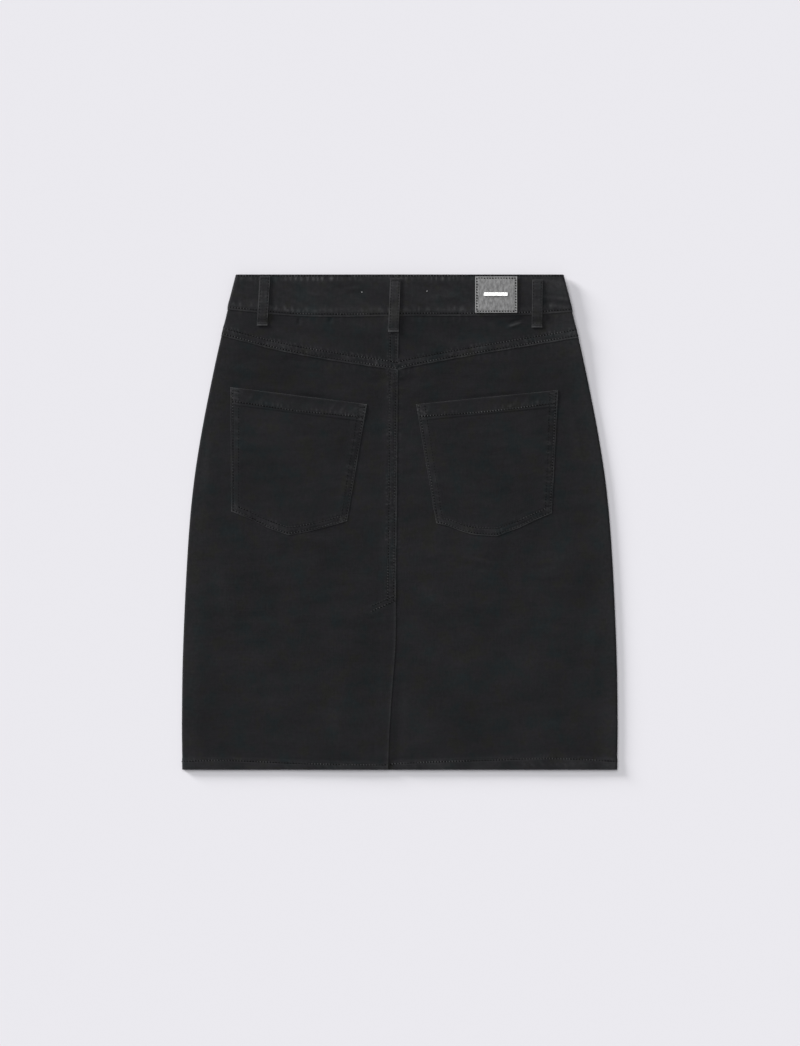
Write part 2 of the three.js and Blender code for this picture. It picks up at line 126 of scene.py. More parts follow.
# Front panels
# Two panels of black stretch denim, which the skirt lies on. They meet at the centre front, where
# the left one laps over the right one, and they go up a little to the waistband.
MM = 0.001
LENGTH = 530.0
WAIST_TOP = LENGTH / 2
HEM_LINE = -LENGTH / 2
CLOTH = 0.6
SEAM_GAP = 0.3
BACK_HEIGHT = 4.2
BACK_LIFT = 3.0
FRONT_LIFT = 3.6
LIFT_RUN = (120.0, 210.0)
SIDE_TUCK = 7.0
FRONT_DIP = 12.0
SEAM_PROUD = 0.65
SEAM_RUN = (8.5, 19.0)
HEM_PROUD = 0.5
EDGE_ROUND = 0.5
FRONT_CUT = {"flat": (0.245, 0.520), "area": 0.112}
FRONT_ROWS = (2.7, 8.9)
FRONT_HEM_ROW = 9.0

# Half width of the skirt laid flat, by the distance down from the top of the waistband
OUTLINE = [
    (0, 174.4), (45, 185.9), (100, 198.5), (165, 211.5), (225, 220.8),
    (290, 226.7), (400, 232.0), (480, 233.3), (530, 232.7),
]
# Height of the seam under the waistband, by the place across the back
BAND_SEAM = [
    (-190, 227.9), (-156, 224.4), (-113, 220.5), (-60, 219.6),
    (0, 220.4), (78, 220.6), (133, 221.5), (190, 225.1),
]
# Soft swells of the upper layer: place across, height up the skirt, rise, reach across and along
SWELLS = [
    (0, 245, 1.7, 62, 62),
    (-118, 70, 0.9, 62, 60),
    (100, 62, 0.8, 64, 66),
    (-92, 186, 0.7, 44, 16),
    (62, -120, 1.1, 38, 120),
    (-82, -150, 0.9, 42, 110),
    (152, -190, 1.0, 34, 90),
    (-170, -90, 0.6, 30, 90),
    (-10, -235, 0.8, 60, 46),
]


def smooth_step(value, low, high):
    share = min(max((value - low) / (high - low), 0.0), 1.0)
    return share * share * (3 - 2 * share)


def mix(low, high, share):
    return low + (high - low) * share


def smooth_curve(rows):
    """A smooth curve through rows of a place and a value, read from a table of millimetre steps"""
    last = len(rows) - 1

    def slope(number):
        before, after = rows[max(number - 1, 0)], rows[min(number + 1, last)]
        return (after[1] - before[1]) / (after[0] - before[0])

    def value(place):
        upper = next((number for number in range(1, last) if rows[number][0] >= place), last)
        (start, low), (end, high) = rows[upper - 1], rows[upper]
        t = (place - start) / (end - start)
        ends = low * (1 + 2 * t) * (1 - t) ** 2 + high * (3 - 2 * t) * t ** 2
        bends = slope(upper - 1) * t * (1 - t) ** 2 - slope(upper) * t ** 2 * (1 - t)
        return ends + bends * (end - start)

    start, reach = rows[0][0], rows[last][0] - rows[0][0]
    table = [value(start + number) for number in range(int(reach) + 1)]

    def read(place):
        held = min(max(place - start, 0.0), len(table) - 1.001)
        whole = int(held)
        return table[whole] + (table[whole + 1] - table[whole]) * (held - whole)

    return read


outline = smooth_curve(OUTLINE)
band_seam = smooth_curve(BAND_SEAM)


def half_width(y):
    return outline(WAIST_TOP - y)


def front_level(y):
    return FRONT_LIFT * smooth_step(y, *LIFT_RUN)


def fold_radius(y):
    return (BACK_HEIGHT + (BACK_LIFT - FRONT_LIFT) * smooth_step(y, *LIFT_RUN)) / 2


def flat_half(y):
    return half_width(y) - fold_radius(y)


def swell(x, y):
    from_fold = flat_half(y) - abs(x)
    calm = smooth_step(from_fold, 0, 45)
    rise = 0.0
    for middle_x, middle_y, height, across, along in SWELLS:
        away = ((x - middle_x) / across) ** 2 + ((y - middle_y) / along) ** 2
        if away < 9:
            rise += height * math.exp(-away)
    rumple = 0.42 * noise.noise(Vector((x / 33 + 0.2 * y / 12, y / 12, 8.1)))
    rumple += 0.14 * noise.noise(Vector((x / 13, y / 5.5, 3.7)))
    return rise * calm + rumple * smooth_step(from_fold, 0, 22) * (1 - 0.5 * smooth_step(y, 205, 225))


def painted_side_sheen(run, y):
    """A painted sheen that lightens the cloth towards its side folds, where it rounds away"""
    return 0.05 * smooth_step(abs(run) - flat_half(y), -24, -3)


def back_skin(run, y, out):
    """A point over the skirt's skin. The run goes out from the centre back, round the side fold and
    under it, and is below 0 on the left half"""
    radius = fold_radius(y)
    flat = half_width(y) - radius
    side = -1 if run < 0 else 1
    middle = front_level(y) + radius
    turn = (abs(run) - flat) / radius
    if turn <= 0:
        return Vector((run, y, middle + radius + swell(run, y) + out))
    if turn < math.pi:
        reach = radius + out
        return Vector((side * (flat + reach * math.sin(turn)), y, middle + reach * math.cos(turn)))
    return Vector((side * (flat - (turn - math.pi) * radius), y, middle - radius - out))


def front_skin(x, y, out):
    return Vector((x, y, front_level(y) - out))


def front_fall(x):
    return FRONT_DIP * (1 - (x / half_width(WAIST_TOP)) ** 2)


def front_band_seam(x):
    reach = flat_half(LIFT_RUN[1])
    return mix(band_seam(-reach), band_seam(reach), (x / reach + 1) / 2) - front_fall(x)


def ladder(start, *spans):
    """Places along a line, from rows of where a span ends and how far apart its places are"""
    places = [start]
    for end, step in spans:
        count = max(round((end - places[-1]) / step), 1)
        first = places[-1]
        places += [mix(first, end, number / count) for number in range(1, count + 1)]
    return places


def edged_ladder(start, end, fine, step):
    """Places from edge to edge, close together where the edges round away"""
    return ladder(start, (start + EDGE_ROUND, fine), (end - EDGE_ROUND, step), (end, fine))


def beside_line(line, steps):
    """Columns or rows that follow a line, at steps from it"""
    return [lambda place, step=step: line(place) + step for step in steps]


def spread(first, second, shares):
    """Columns or rows spread between two lines"""
    return [lambda place, share=share: mix(first(place), second(place), share) for share in shares]


def edge_round(*distances):
    """How far a turned edge drops, where it rounds away"""
    nearest = min(max(min(distances), 0.0), EDGE_ROUND)
    return math.sqrt(EDGE_ROUND ** 2 - (EDGE_ROUND - nearest) ** 2) - EDGE_ROUND


def patches(place, size, seed):
    """Uneven stretches along a line, from 0 to 1"""
    return min(max(0.45 + 1.5 * noise.noise(Vector((place / size, seed, 0.37))), 0.0), 1.0)


def puckers(along, pitch, seed):
    """The little ridges that sewing draws up along a row, from 0 to 1, none of them the same"""
    shift = 1.1 * noise.noise(Vector((along / pitch / 2.1, seed + 0.5, 1.7)))
    ridge = max(math.sin(2 * math.pi * (along / pitch + shift)), 0.0)
    return ridge * math.sqrt(ridge) * (0.15 + 0.85 * patches(along, 3.2 * pitch, seed + 4.4))


def beside(distance, middle, reach):
    """How close a distance is to a line, from 0 to 1"""
    off = (distance - middle) / reach
    return math.exp(-off * off) if abs(off) < 3 else 0.0


def sewn_edge(along, away, rows, seed, pitch=4.6, lean=0.35, edge=1.0, rub=1.0):
    """Relief and wear inside a sewn edge: the rubbed fold, stitches sunk in, and puckers by them"""
    if away > rows[-1] + 8:
        return 0.0, 0.0
    rise = 0.0
    worn = edge * (0.14 + 0.55 * patches(along, 13, seed)) * math.exp(-max(away, 0.0) / 0.6)
    for number, line in enumerate(rows):
        off = away - line
        drawn = puckers(along + lean * off, pitch, seed + 7 + 3 * number)
        ridge = drawn * (beside(off, 1.9, 1.4) + 0.8 * beside(off, -1.7, 1.2))
        rise += 0.28 * ridge - 0.26 * beside(off, 0, 1.1)
        teeth = (0.02 + 0.08 * patches(along, 12, seed + 2 * number)) * beside(off, 0, 1.2)
        worn += rub * (0.3 * ridge + teeth)
    return rise, worn


def lay_cloth(name, columns, rows, place, facing_up=True, thickness=CLOTH):
    """A wall of cloth. The grid's points are laid by a function that gives a point, its wear together
    with any painted sheen, and its place in the flat cloth"""
    bm = bmesh.new()
    across, up = len(columns) - 1, len(rows) - 1
    bmesh.ops.create_grid(bm, x_segments=across, y_segments=up, size=0.5)
    # This attribute holds real wear, and on the back panels and yoke also a painted sheen towards the side
    # folds
    wear_and_sheen = bm.verts.layers.float.new("wear_and_sheen")
    cloth_map = bm.loops.layers.uv.new("cloth")
    grain = {}
    for vert in bm.verts:
        column = columns[round((vert.co.x + 0.5) * across)]
        row = rows[round((vert.co.y + 0.5) * up)]
        point, worn, grain[vert] = place(column, row)
        vert.co = point * MM
        vert[wear_and_sheen] = min(max(worn, 0.0), 1.0)
    for face in bm.faces:
        for loop in face.loops:
            loop[cloth_map].uv = grain[loop.vert]
    bm.normal_update()
    upward = sum(face.normal.z * face.calc_area() for face in bm.faces)
    if (upward > 0) != facing_up:
        bmesh.ops.reverse_faces(bm, faces=bm.faces)
    piece = placed(name, bm)
    wall = piece.modifiers.new("wall", "SOLIDIFY")
    wall.thickness = thickness * MM
    wall.offset = -1.0
    return piece


def add_node(tree, kind, values=(), **settings):
    """A shader node with its settings, and its sockets' values by name or number"""
    node = tree.nodes.new("ShaderNode" + kind)
    for setting, value in settings.items():
        setattr(node, setting, value)
    for socket, value in dict(values).items():
        node.inputs[socket].default_value = value
    return node


def link_sockets(tree, *rows):
    """Links, each from a node and its output to a node and its input"""
    for start, output, end, entrance in rows:
        tree.links.new(start.outputs[output], end.inputs[entrance])


def woven_group():
    """Twill cloth from its place in millimetres: the height of its ribs and yarns, and its tone"""
    group = bpy.data.node_groups.new("woven_twill", "ShaderNodeTree")
    group.interface.new_socket("Place", in_out="INPUT", socket_type="NodeSocketVector")
    group.interface.new_socket("Rib Pitch", in_out="INPUT", socket_type="NodeSocketFloat")
    group.interface.new_socket("Height", in_out="OUTPUT", socket_type="NodeSocketFloat")
    group.interface.new_socket("Tone", in_out="OUTPUT", socket_type="NodeSocketFloat")
    entry = group.nodes.new("NodeGroupInput")
    leave = group.nodes.new("NodeGroupOutput")
    turned = add_node(group, "Mapping", {"Rotation": (0, 0, math.radians(-27))})
    pitch = add_node(group, "Math", {0: 0.314}, operation="DIVIDE")
    ribs = add_node(group, "TexWave", {"Distortion": 1.2, "Detail": 1.0, "Detail Scale": 1.5})
    warp_place = add_node(group, "Mapping", {"Scale": (0.55, 0.07, 1)})
    warp = add_node(group, "TexNoise", {"Scale": 1.0, "Detail": 3.0})
    weft_place = add_node(group, "Mapping", {"Scale": (0.06, 0.5, 1)})
    weft = add_node(group, "TexNoise", {"Scale": 1.0, "Detail": 3.0})
    yarns = add_node(group, "Math", operation="ADD")
    speck = add_node(group, "TexNoise", {"Scale": 0.26, "Detail": 5.0, "Roughness": 0.75})
    speck_share = add_node(group, "Math", {1: 0.66}, operation="MULTIPLY")
    tone = add_node(group, "Math", {1: 0.16}, operation="MULTIPLY_ADD")
    height = add_node(group, "Math", {1: 0.5}, operation="MULTIPLY_ADD")
    link_sockets(
        group,
        (entry, "Place", turned, "Vector"),
        (turned, "Vector", ribs, "Vector"),
        (entry, "Rib Pitch", pitch, 1),
        (pitch, 0, ribs, "Scale"),
        (entry, "Place", warp_place, "Vector"),
        (warp_place, "Vector", warp, "Vector"),
        (entry, "Place", weft_place, "Vector"),
        (weft_place, "Vector", weft, "Vector"),
        (entry, "Place", speck, "Vector"),
        (warp, "Fac", yarns, 0),
        (weft, "Fac", yarns, 1),
        (speck, "Fac", speck_share, 0),
        (yarns, 0, tone, 0),
        (speck_share, 0, tone, 2),
        (ribs, "Fac", height, 0),
        (yarns, 0, height, 2),
        (height, 0, leave, "Height"),
        (tone, 0, leave, "Tone"),
    )
    return group


WOVEN = woven_group()


def ramp_node(tree, *stops):
    """A colour ramp from rows of a place and a colour"""
    ramp = add_node(tree, "ValToRGB")
    ramp.color_ramp.elements[0].position = stops[0][0]
    ramp.color_ramp.elements[0].color = stops[0][1]
    ramp.color_ramp.elements[1].position = stops[-1][0]
    ramp.color_ramp.elements[1].color = stops[-1][1]
    for position, colour in stops[1:-1]:
        ramp.color_ramp.elements.new(position).color = colour
    return ramp


BLACK_DARK = (0.0075, 0.0076, 0.0082, 1)
BLACK_MIDDLE = (0.0112, 0.0113, 0.0122, 1)
BLACK_LIGHT = (0.0158, 0.0159, 0.0170, 1)
# The grey that rubbed cloth turns to, and that the painted sheen towards the side folds also mixes towards
WORN_AND_SHEEN_GREY = (0.080, 0.080, 0.082, 1)
# Tints that the black dye takes in patches: bluish green, none, purple and a little olive
HUES = [
    (0.35, (0.62, 0.87, 0.92, 1)),
    (0.455, (0.82, 0.86, 0.88, 1)),
    (0.545, (0.91, 0.84, 0.95, 1)),
    (0.62, (0.91, 0.90, 0.76, 1)),
]
TWILL_PITCH = 1.1


def black_denim():
    """Black denim: dark twill whose puckers, ridges and turned edges are rubbed to grey, and whose sides
    carry a painted sheen towards the folds
    """
    material, tree, shader = new_material(
        "black_denim",
        {"Roughness": 0.9, "Specular IOR Level": 0.16, "Sheen Weight": 0.06, "Sheen Roughness": 0.5},
    )
    cloth_map = add_node(tree, "UVMap", uv_map="cloth")
    in_mm = add_node(tree, "Mapping", {"Scale": (1000, 1000, 1000)})
    woven = add_node(tree, "Group", {"Rib Pitch": TWILL_PITCH}, node_tree=WOVEN)
    coordinates = add_node(tree, "TexCoord")
    cloud = add_node(tree, "TexNoise", {"Scale": 17.0, "Detail": 3.0})
    cloud_share = add_node(tree, "MapRange", {"To Min": -0.3, "To Max": 0.3})
    tone = add_node(tree, "Math", operation="ADD")
    cloth_colour = ramp_node(tree, (0.25, BLACK_DARK), (0.48, BLACK_MIDDLE), (0.75, BLACK_LIGHT))
    hue_noise = add_node(tree, "TexNoise", {"Scale": 44.0, "Detail": 5.0, "Roughness": 0.66})
    hue_ramp = ramp_node(tree, *HUES)
    hued = add_node(tree, "VectorMath", operation="MULTIPLY")
    # This attribute holds real wear and the painted sheen towards the side folds; both lighten the cloth to
    # grey
    wear_and_sheen = add_node(tree, "Attribute", attribute_name="wear_and_sheen")
    rubbed = add_node(tree, "Math", operation="MULTIPLY")
    gains = {"From Min": 0.35, "From Max": 0.62, "To Min": 0.45, "To Max": 1.25}
    wear_and_sheen_gain = add_node(tree, "MapRange", gains)
    colour = add_node(tree, "Mix", {"B": WORN_AND_SHEEN_GREY}, data_type="RGBA")
    bump = add_node(tree, "Bump", {"Strength": 0.55, "Distance": 0.00022})
    link_sockets(
        tree,
        (cloth_map, "UV", in_mm, "Vector"),
        (in_mm, "Vector", woven, "Place"),
        (coordinates, "Object", cloud, "Vector"),
        (cloud, "Fac", cloud_share, "Value"),
        (woven, "Tone", tone, 0),
        (cloud_share, "Result", tone, 1),
        (tone, 0, cloth_colour, "Fac"),
        (woven, "Tone", wear_and_sheen_gain, "Value"),
        (wear_and_sheen, "Fac", rubbed, 0),
        (wear_and_sheen_gain, "Result", rubbed, 1),
        (rubbed, 0, colour, "Factor"),
        (coordinates, "Object", hue_noise, "Vector"),
        (hue_noise, "Fac", hue_ramp, "Fac"),
        (cloth_colour, "Color", hued, 0),
        (hue_ramp, "Color", hued, 1),
        (hued, "Vector", colour, "A"),
        (colour, "Result", shader, "Base Color"),
        (woven, "Height", bump, "Height"),
        (bump, "Normal", shader, "Normal"),
    )
    return material


DENIM = black_denim()


def finish_denim(piece, node, flat, area, rests_on):
    piece.data.materials.append(DENIM)
    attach(piece, "root")
    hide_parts(node)


def panel_level(level, top, nominal_top, bend_start=-70.0):
    """The height of a row: level along the hem, and bent to follow the seam at the panel's top"""
    return level + (top - nominal_top) * smooth_step(level, bend_start, nominal_top)


def front_panel_shape(side, x, y):
    from_centre = abs(x) if side < 0 else abs(x) - SEAM_GAP
    felled = HEM_PROUD * (1 - smooth_step(from_centre, *SEAM_RUN))
    seam_rise, seam_worn = sewn_edge(y, from_centre, FRONT_ROWS, 41) if side < 0 else (0.0, 0.0)
    hem_rise_here, hem_worn = sewn_edge(x, y - HEM_LINE, (FRONT_HEM_ROW,), 43)
    out = -(felled if side > 0 else 0) + edge_round(y - HEM_LINE, from_centre) * 0.6
    return out + min(seam_rise + hem_rise_here, 0.0) * 0.6, seam_worn + hem_worn


def half_name(side):
    return "left" if side < 0 else "right"


def front_panel(side):
    centre = 0 if side < 0 else SEAM_GAP
    near = ladder(centre, (centre + EDGE_ROUND, 0.17), (centre + 14, 1.5))
    columns = beside_line(lambda y: 0.0, near)
    columns += spread(
        lambda y: centre + 14, lambda y: flat_half(y) - SIDE_TUCK - SEAM_GAP, ladder(0, (1, 1 / 58))[1:]
    )
    nominal = 213.0
    rows = ladder(
        HEM_LINE, (HEM_LINE + EDGE_ROUND, 0.17), (HEM_LINE + 14, 1.5), (nominal - 12, 5), (nominal, 2)
    )

    def place(column, level):
        y = level
        for _ in range(3):
            y = panel_level(level, front_band_seam(side * column(y)), nominal)
        x = side * column(y)
        out, worn = front_panel_shape(side, x, y)
        return front_skin(x, y, out), worn, (x * MM, y * MM)

    piece = lay_cloth("front_" + half_name(side), columns, rows, place, facing_up=False)
    finish_denim(piece, "front_panel_" + half_name(side), rests_on=[], **FRONT_CUT)


for half in (-1, 1):
    front_panel(half)


# Back panels
# Two panels of the same denim, felled together down the centre back, the left over the right. They
# go round the sides to a seam on the underside. Below the vent the left edge hangs free over the
# right panel's underlap, and the hem is turned up and sewn with one row.
BACK_CUT = {"flat": (0.285, 0.505), "area": 0.119}
VENT_TOP = -86.0
VENT_SLOPE = 0.46
UNDERLAP = 38.0
# Left panel's edge down the centre back: height up the skirt and place across
CENTRE_EDGE = [
    (-265, -12.3), (-224, -10.9), (-183, -8.2), (-150, -5.6), (-122, -4.1),
    (-86, -4.0), (0, -3.0), (130, -1.9), (265, -0.5),
]
# Lower edge of each half of the yoke: place across and height
YOKE_LEFT = [(-192, 199.6), (-134, 184.4), (-89, 175.5), (0, 161.7)]
YOKE_RIGHT = [(-5, 162.0), (22, 168.0), (86, 179.6), (150, 190.4), (192, 197.4)]
SEAM_ROWS = (2.7, 8.9)
# Height of the hem's one row of stitches, which wanders as it was sewn: place across and height
HEM_ROW = [
    (-240, 8.6), (-190, 10.0), (-100, 6.4), (-17, 5.2),
    (0, 6.8), (94, 10.1), (164, 12.0), (240, 8.6),
]
# Listed creases: from a place to a place, half width, and height, where a trough is below 0
BACK_CREASES = [
    (-124, 177, -101, 169, 2.8, -0.7),
    (-100, 167, -60, 160, 4.0, 0.35),
    (-196, 170, -150, 158, 5.0, 0.4),
    (-168, 178, -140, 171, 3.0, -0.3),
    (-30, 148, -8, 156, 4.0, -0.45),
    (-4, 150, 20, 152, 4.5, -0.6),
    (10, 140, 44, 150, 4.0, 0.3),
    (66, -37, 104, -45, 2.2, 0.45),
    (60, -44, 96, -52, 3.0, -0.4),
    (4, -18, 40, -28, 7.0, -0.6),
    (-132, -30, -88, -44, 10.0, -0.7),
    (-92, -40, -34, -60, 9.0, -0.6),
    (-120, -12, -60, -24, 6.0, 0.4),
    (112, -34, 124, -80, 9.0, -0.6),
    (150, -60, 190, -30, 8.0, 0.4),
    (20, -70, 60, -96, 8.0, 0.5),
    (-60, -104, -20, -92, 6.0, 0.45),
    (-200, -40, -176, -120, 9.0, 0.4),
    (70, -190, 96, -236, 8.0, -0.5),
    (150, -214, 200, -226, 6.0, 0.35),
    (110, -196, 160, -188, 7.0, -0.4),
    (-150, -170, -128, -236, 10.0, -0.45),
    (-70, -196, -62, -250, 7.0, 0.4),
    (-214, -212, -196, -250, 6.0, -0.35),
    (214, -80, 204, -160, 8.0, 0.35),
    (3, -150, -4, -290, 6.5, -0.6),
    (184, 120, 196, 60, 5.0, 0.35),
    (-203, 96, -207, 30, 5.0, 0.35),
]


yoke_edge_left = smooth_curve(YOKE_LEFT)
yoke_edge_right = smooth_curve(YOKE_RIGHT)
centre_edge = smooth_curve(CENTRE_EDGE)
hem_row = smooth_curve(HEM_ROW)


def yoke_edge(side, x):
    return yoke_edge_left(x) if side < 0 else yoke_edge_right(x)


def felled_rise(distance):
    return SEAM_PROUD * (1 - smooth_step(distance, *SEAM_RUN))


def hem_rise(run, y):
    up = y - HEM_LINE - hem_row(run)
    return HEM_PROUD * (1 - smooth_step(up, 1.6, 4.4))


def kept_outside(run, y):
    """What stands proud goes over to the inner side round the fold, so that the underside is flat"""
    turn = min(max((abs(run) - flat_half(y)) / fold_radius(y), 0.0), math.pi)
    return math.cos(turn / 2) ** 2


def held_place(run, y):
    """The run, held back where it goes round the fold, for lines that cross the back"""
    reach = flat_half(y)
    return min(max(run, -reach), reach)


def creases(rows, x, y):
    """The height of the listed soft folds, each tapered to its ends"""
    rise = 0.0
    for from_x, from_y, to_x, to_y, half, height in rows:
        long_x, long_y = to_x - from_x, to_y - from_y
        long = math.hypot(long_x, long_y)
        along = ((x - from_x) * long_x + (y - from_y) * long_y) / long ** 2
        if not -0.4 < along < 1.4:
            continue
        away = ((x - from_x) * long_y - (y - from_y) * long_x) / long / half
        if abs(away) < 3:
            taper = math.exp(-((along - 0.5) / 0.42) ** 4)
            rise += height * taper * math.exp(-away * away)
    return rise


def vent_shoulder(x):
    return VENT_TOP + VENT_SLOPE * (x - centre_edge(VENT_TOP))


def lift_over_underlap(x, y):
    edge = centre_edge(y) - UNDERLAP
    across = smooth_step(x, edge - 52, edge - 2)
    down = 1 - smooth_step(y, vent_shoulder(x) + 4, vent_shoulder(x) + 40)
    return 0.4 * across * down


# The two ends of each pocket's mouth
MOUTHS = [((-181.2, 144.4), (-34.9, 126.1)), ((17.5, 126.2), (169.8, 141.3))]


def mouth_sag(x, y):
    """The dip that a pocket's mouth leaves in the panel, just over its free edge"""
    (left_x, left_y), (right_x, right_y) = MOUTHS[0] if x < 0 else MOUTHS[1]
    share = (x - left_x) / (right_x - left_x)
    over = y - mix(left_y, right_y, share)
    if not -4 < over < 8 or not 0.02 < share < 0.98:
        return 0.0
    uneven = 0.35 + 0.65 * patches(x, 30, 35)
    return uneven * beside(over, 0.3, 2.2) * math.sin(math.pi * share) ** 0.5


def sewn_hem(run, y, seed):
    """The hem between its fold and its row of stitches, with a few slanting ridges"""
    up = y - HEM_LINE
    line = hem_row(run)
    if up > line + 6:
        return 0.0, 0.0
    slant = puckers(run + 0.9 * up, 9.0, seed + 9) * beside(up, line * 0.5, 2.6)
    drawn = puckers(run + 0.2 * up, 4.2, seed + 5) * beside(up, line + 1.7, 1.2)
    rise = 0.14 * slant + 0.12 * drawn - 0.2 * beside(up, line, 0.8)
    worn = 0.12 * slant + 0.14 * drawn + (0.04 + 0.14 * patches(run, 11, seed + 1)) * beside(up, line, 1.2)
    worn += (0.02 + 0.08 * patches(run, 20, seed + 2)) * (1 - smooth_step(up, line - 1, line + 1))
    return rise, worn


def left_panel_shape(run, y):
    x = held_place(run, y)
    from_centre = centre_edge(y) - run
    shown = kept_outside(run, y)
    closed = smooth_step(y, VENT_TOP - 2, VENT_TOP + 6)
    proud = max(felled_rise(from_centre) * mix(0.35, 0.8, closed), hem_rise(run, y))
    seam_rise, seam_worn = sewn_edge(y, from_centre, SEAM_ROWS, 3, edge=0.75)
    hem_ridges, hem_worn = sewn_hem(run, y, 11)
    below_yoke = yoke_edge(-1, x) - y
    drawn = puckers(run, 8.0, 19) * beside(below_yoke, 4.0, 3.0)
    rounded = edge_round(from_centre, y - HEM_LINE)
    fold = creases(BACK_CREASES, x, y)
    out = (proud + seam_rise * closed + hem_ridges + 0.16 * drawn + rounded + fold) * shown
    out += lift_over_underlap(run, y)
    out -= 1.2 * mouth_sag(x, y)
    turned_edge = 0.3 * math.exp(-max(from_centre, 0.0) / 1.2) * (1 - closed)
    tacked = 0.0
    if from_centre < 30:
        for line in (0.0, SEAM_ROWS[1] - SEAM_ROWS[0]):
            over_tack = y - (VENT_TOP + 2 - VENT_SLOPE * from_centre + line * 0.9)
            tacked += (0.04 + 0.12 * patches(run, 7, 37 + line)) * beside(over_tack, 0, 1.2) * shown
        tacked *= smooth_step(from_centre, 29, 25) if from_centre > 25 else 1.0
    worn = seam_worn * closed + hem_worn + turned_edge + tacked
    # The last term is the painted sheen towards the side folds, added to the real wear
    return out, worn + 0.05 * drawn + 0.06 * max(fold, 0.0) + painted_side_sheen(run, y)


def right_panel_shape(run, y):
    x = held_place(run, y)
    from_centre = run - centre_edge(y)
    shown = kept_outside(run, y)
    over = smooth_step(from_centre, 3, 8)
    proud = hem_rise(run, y) * over
    hem_ridges, hem_worn = sewn_hem(run, y, 13)
    below_yoke = yoke_edge(1, x) - y
    drawn = puckers(run, 8.0, 23) * beside(below_yoke, 4.0, 3.0)
    side_drawn = puckers(y, 7.0, 25) * beside(from_centre, 3.0, 2.4)
    side_drawn *= smooth_step(y, VENT_TOP, VENT_TOP + 12)
    fold = creases(BACK_CREASES, x, y)
    out = (proud + hem_ridges * over + 0.16 * drawn + 0.16 * side_drawn + edge_round(y - HEM_LINE)) * shown
    out += fold * shown * smooth_step(from_centre, -2, 6) - 0.9 * mouth_sag(x, y)
    # Besides the real wear, the last term here is the painted sheen towards the side folds
    worn = hem_worn * over + 0.05 * drawn + 0.08 * side_drawn + 0.06 * max(fold, 0.0) + painted_side_sheen(run, y)
    return out, worn + 0.035 * smooth_step(run, 130, 165) * smooth_step(y, 150, 185)


def side_columns(side, near, middle_step):
    """Columns out from the centre over half of the back, as runs for a height: the near ones by
    functions of their own, then evenly to the side, round the fold and under to the side seam"""
    last = near[-1]
    count = round(160 / middle_step)
    turns = [math.radians(15 * number) for number in range(13)]
    columns = list(near)
    columns += [
        lambda y, share=number / count: side * mix(abs(last(y)), flat_half(y), share)
        for number in range(1, count)
    ]
    columns += [lambda y, turn=turn: side * (flat_half(y) + turn * fold_radius(y)) for turn in turns]
    columns += [
        lambda y, share=share: side * (flat_half(y) + math.pi * fold_radius(y) + SIDE_TUCK * share)
        for share in (0.5, 1.0)
    ]
    return columns


def settle(column, row):
    """Where a column meets a row, when each depends on the other"""
    y = 0.0
    for _ in range(4):
        y = row(held_place(column(y), y))
    return column(y), y


def back_piece(name, columns, rows, shape, **options):
    def place(column, row):
        run, y = settle(column, row)
        # The second value is the wear, and on the panels and yoke it also holds the painted sheen towards
        # the side folds
        out, worn = shape(run, y)
        return back_skin(run, y, out), worn, (run * MM, y * MM)

    return lay_cloth(name, columns, rows, place, **options)


def panel_rows(side):
    """Rows of a back panel, up to a little under the yoke's edge"""
    nominal = 162.0
    levels = ladder(
        HEM_LINE, (HEM_LINE + EDGE_ROUND, 0.17), (HEM_LINE + 14, 1.0),
        (VENT_TOP - 30, 3.0), (nominal - 14, 1.7), (nominal + 3, 1.1),
    )
    return [lambda x, level=level: panel_level(level, yoke_edge(side, x), nominal) for level in levels]


left_near = beside_line(centre_edge, ladder(0, (-EDGE_ROUND, -0.17), (-14, -0.9), (-60, -1.8)))
left_panel = back_piece("back_left", side_columns(-1, left_near, 1.8), panel_rows(-1), left_panel_shape)
finish_denim(left_panel, "back_panel_left", rests_on=["front_left"], **BACK_CUT)


def underlap_edge(y):
    open_share = smooth_step(VENT_TOP - y, 0, UNDERLAP * VENT_SLOPE)
    return centre_edge(y) - 3.0 - open_share * (UNDERLAP - 3.0)


right_near = spread(underlap_edge, lambda y: centre_edge(y) + 2, ladder(0, (1, 1 / 12)))
right_near += beside_line(centre_edge, ladder(2, (14, 1.0), (58, 1.8))[1:])
right_panel = back_piece("back_right", side_columns(1, right_near, 1.8), panel_rows(1), right_panel_shape)
finish_denim(right_panel, "back_panel_right", rests_on=["front_right"], **BACK_CUT)


# Back yoke
# A shallow V of two pieces under the waistband. Their lower edges are felled over the panels with
# two rows of stitches, and the left half laps over the right one.
YOKE_CUT = {"flat": (0.210, 0.085), "area": 0.0105}
YOKE_CREASES = [
    (-108, 219, -107.5, 211, 1.6, -0.8),
    (-74.5, 219, -74, 213, 1.6, -0.7),
    (-140, 206, -96, 196, 5.0, 0.15),
    (-88, 204, -40, 190, 6.0, -0.25),
    (-60, 214, -24, 206, 4.0, 0.15),
    (115, 208.5, 131, 213.5, 1.7, 0.9),
    (117, 213.5, 133, 217.5, 1.8, -0.6),
    (60, 205, 110, 200, 5.0, -0.25),
    (24, 196, 70, 190, 6.0, 0.15),
    (96, 214, 104, 204, 3.0, 0.2),
    (-150, 213, -140, 214, 1.5, 0.7),
]


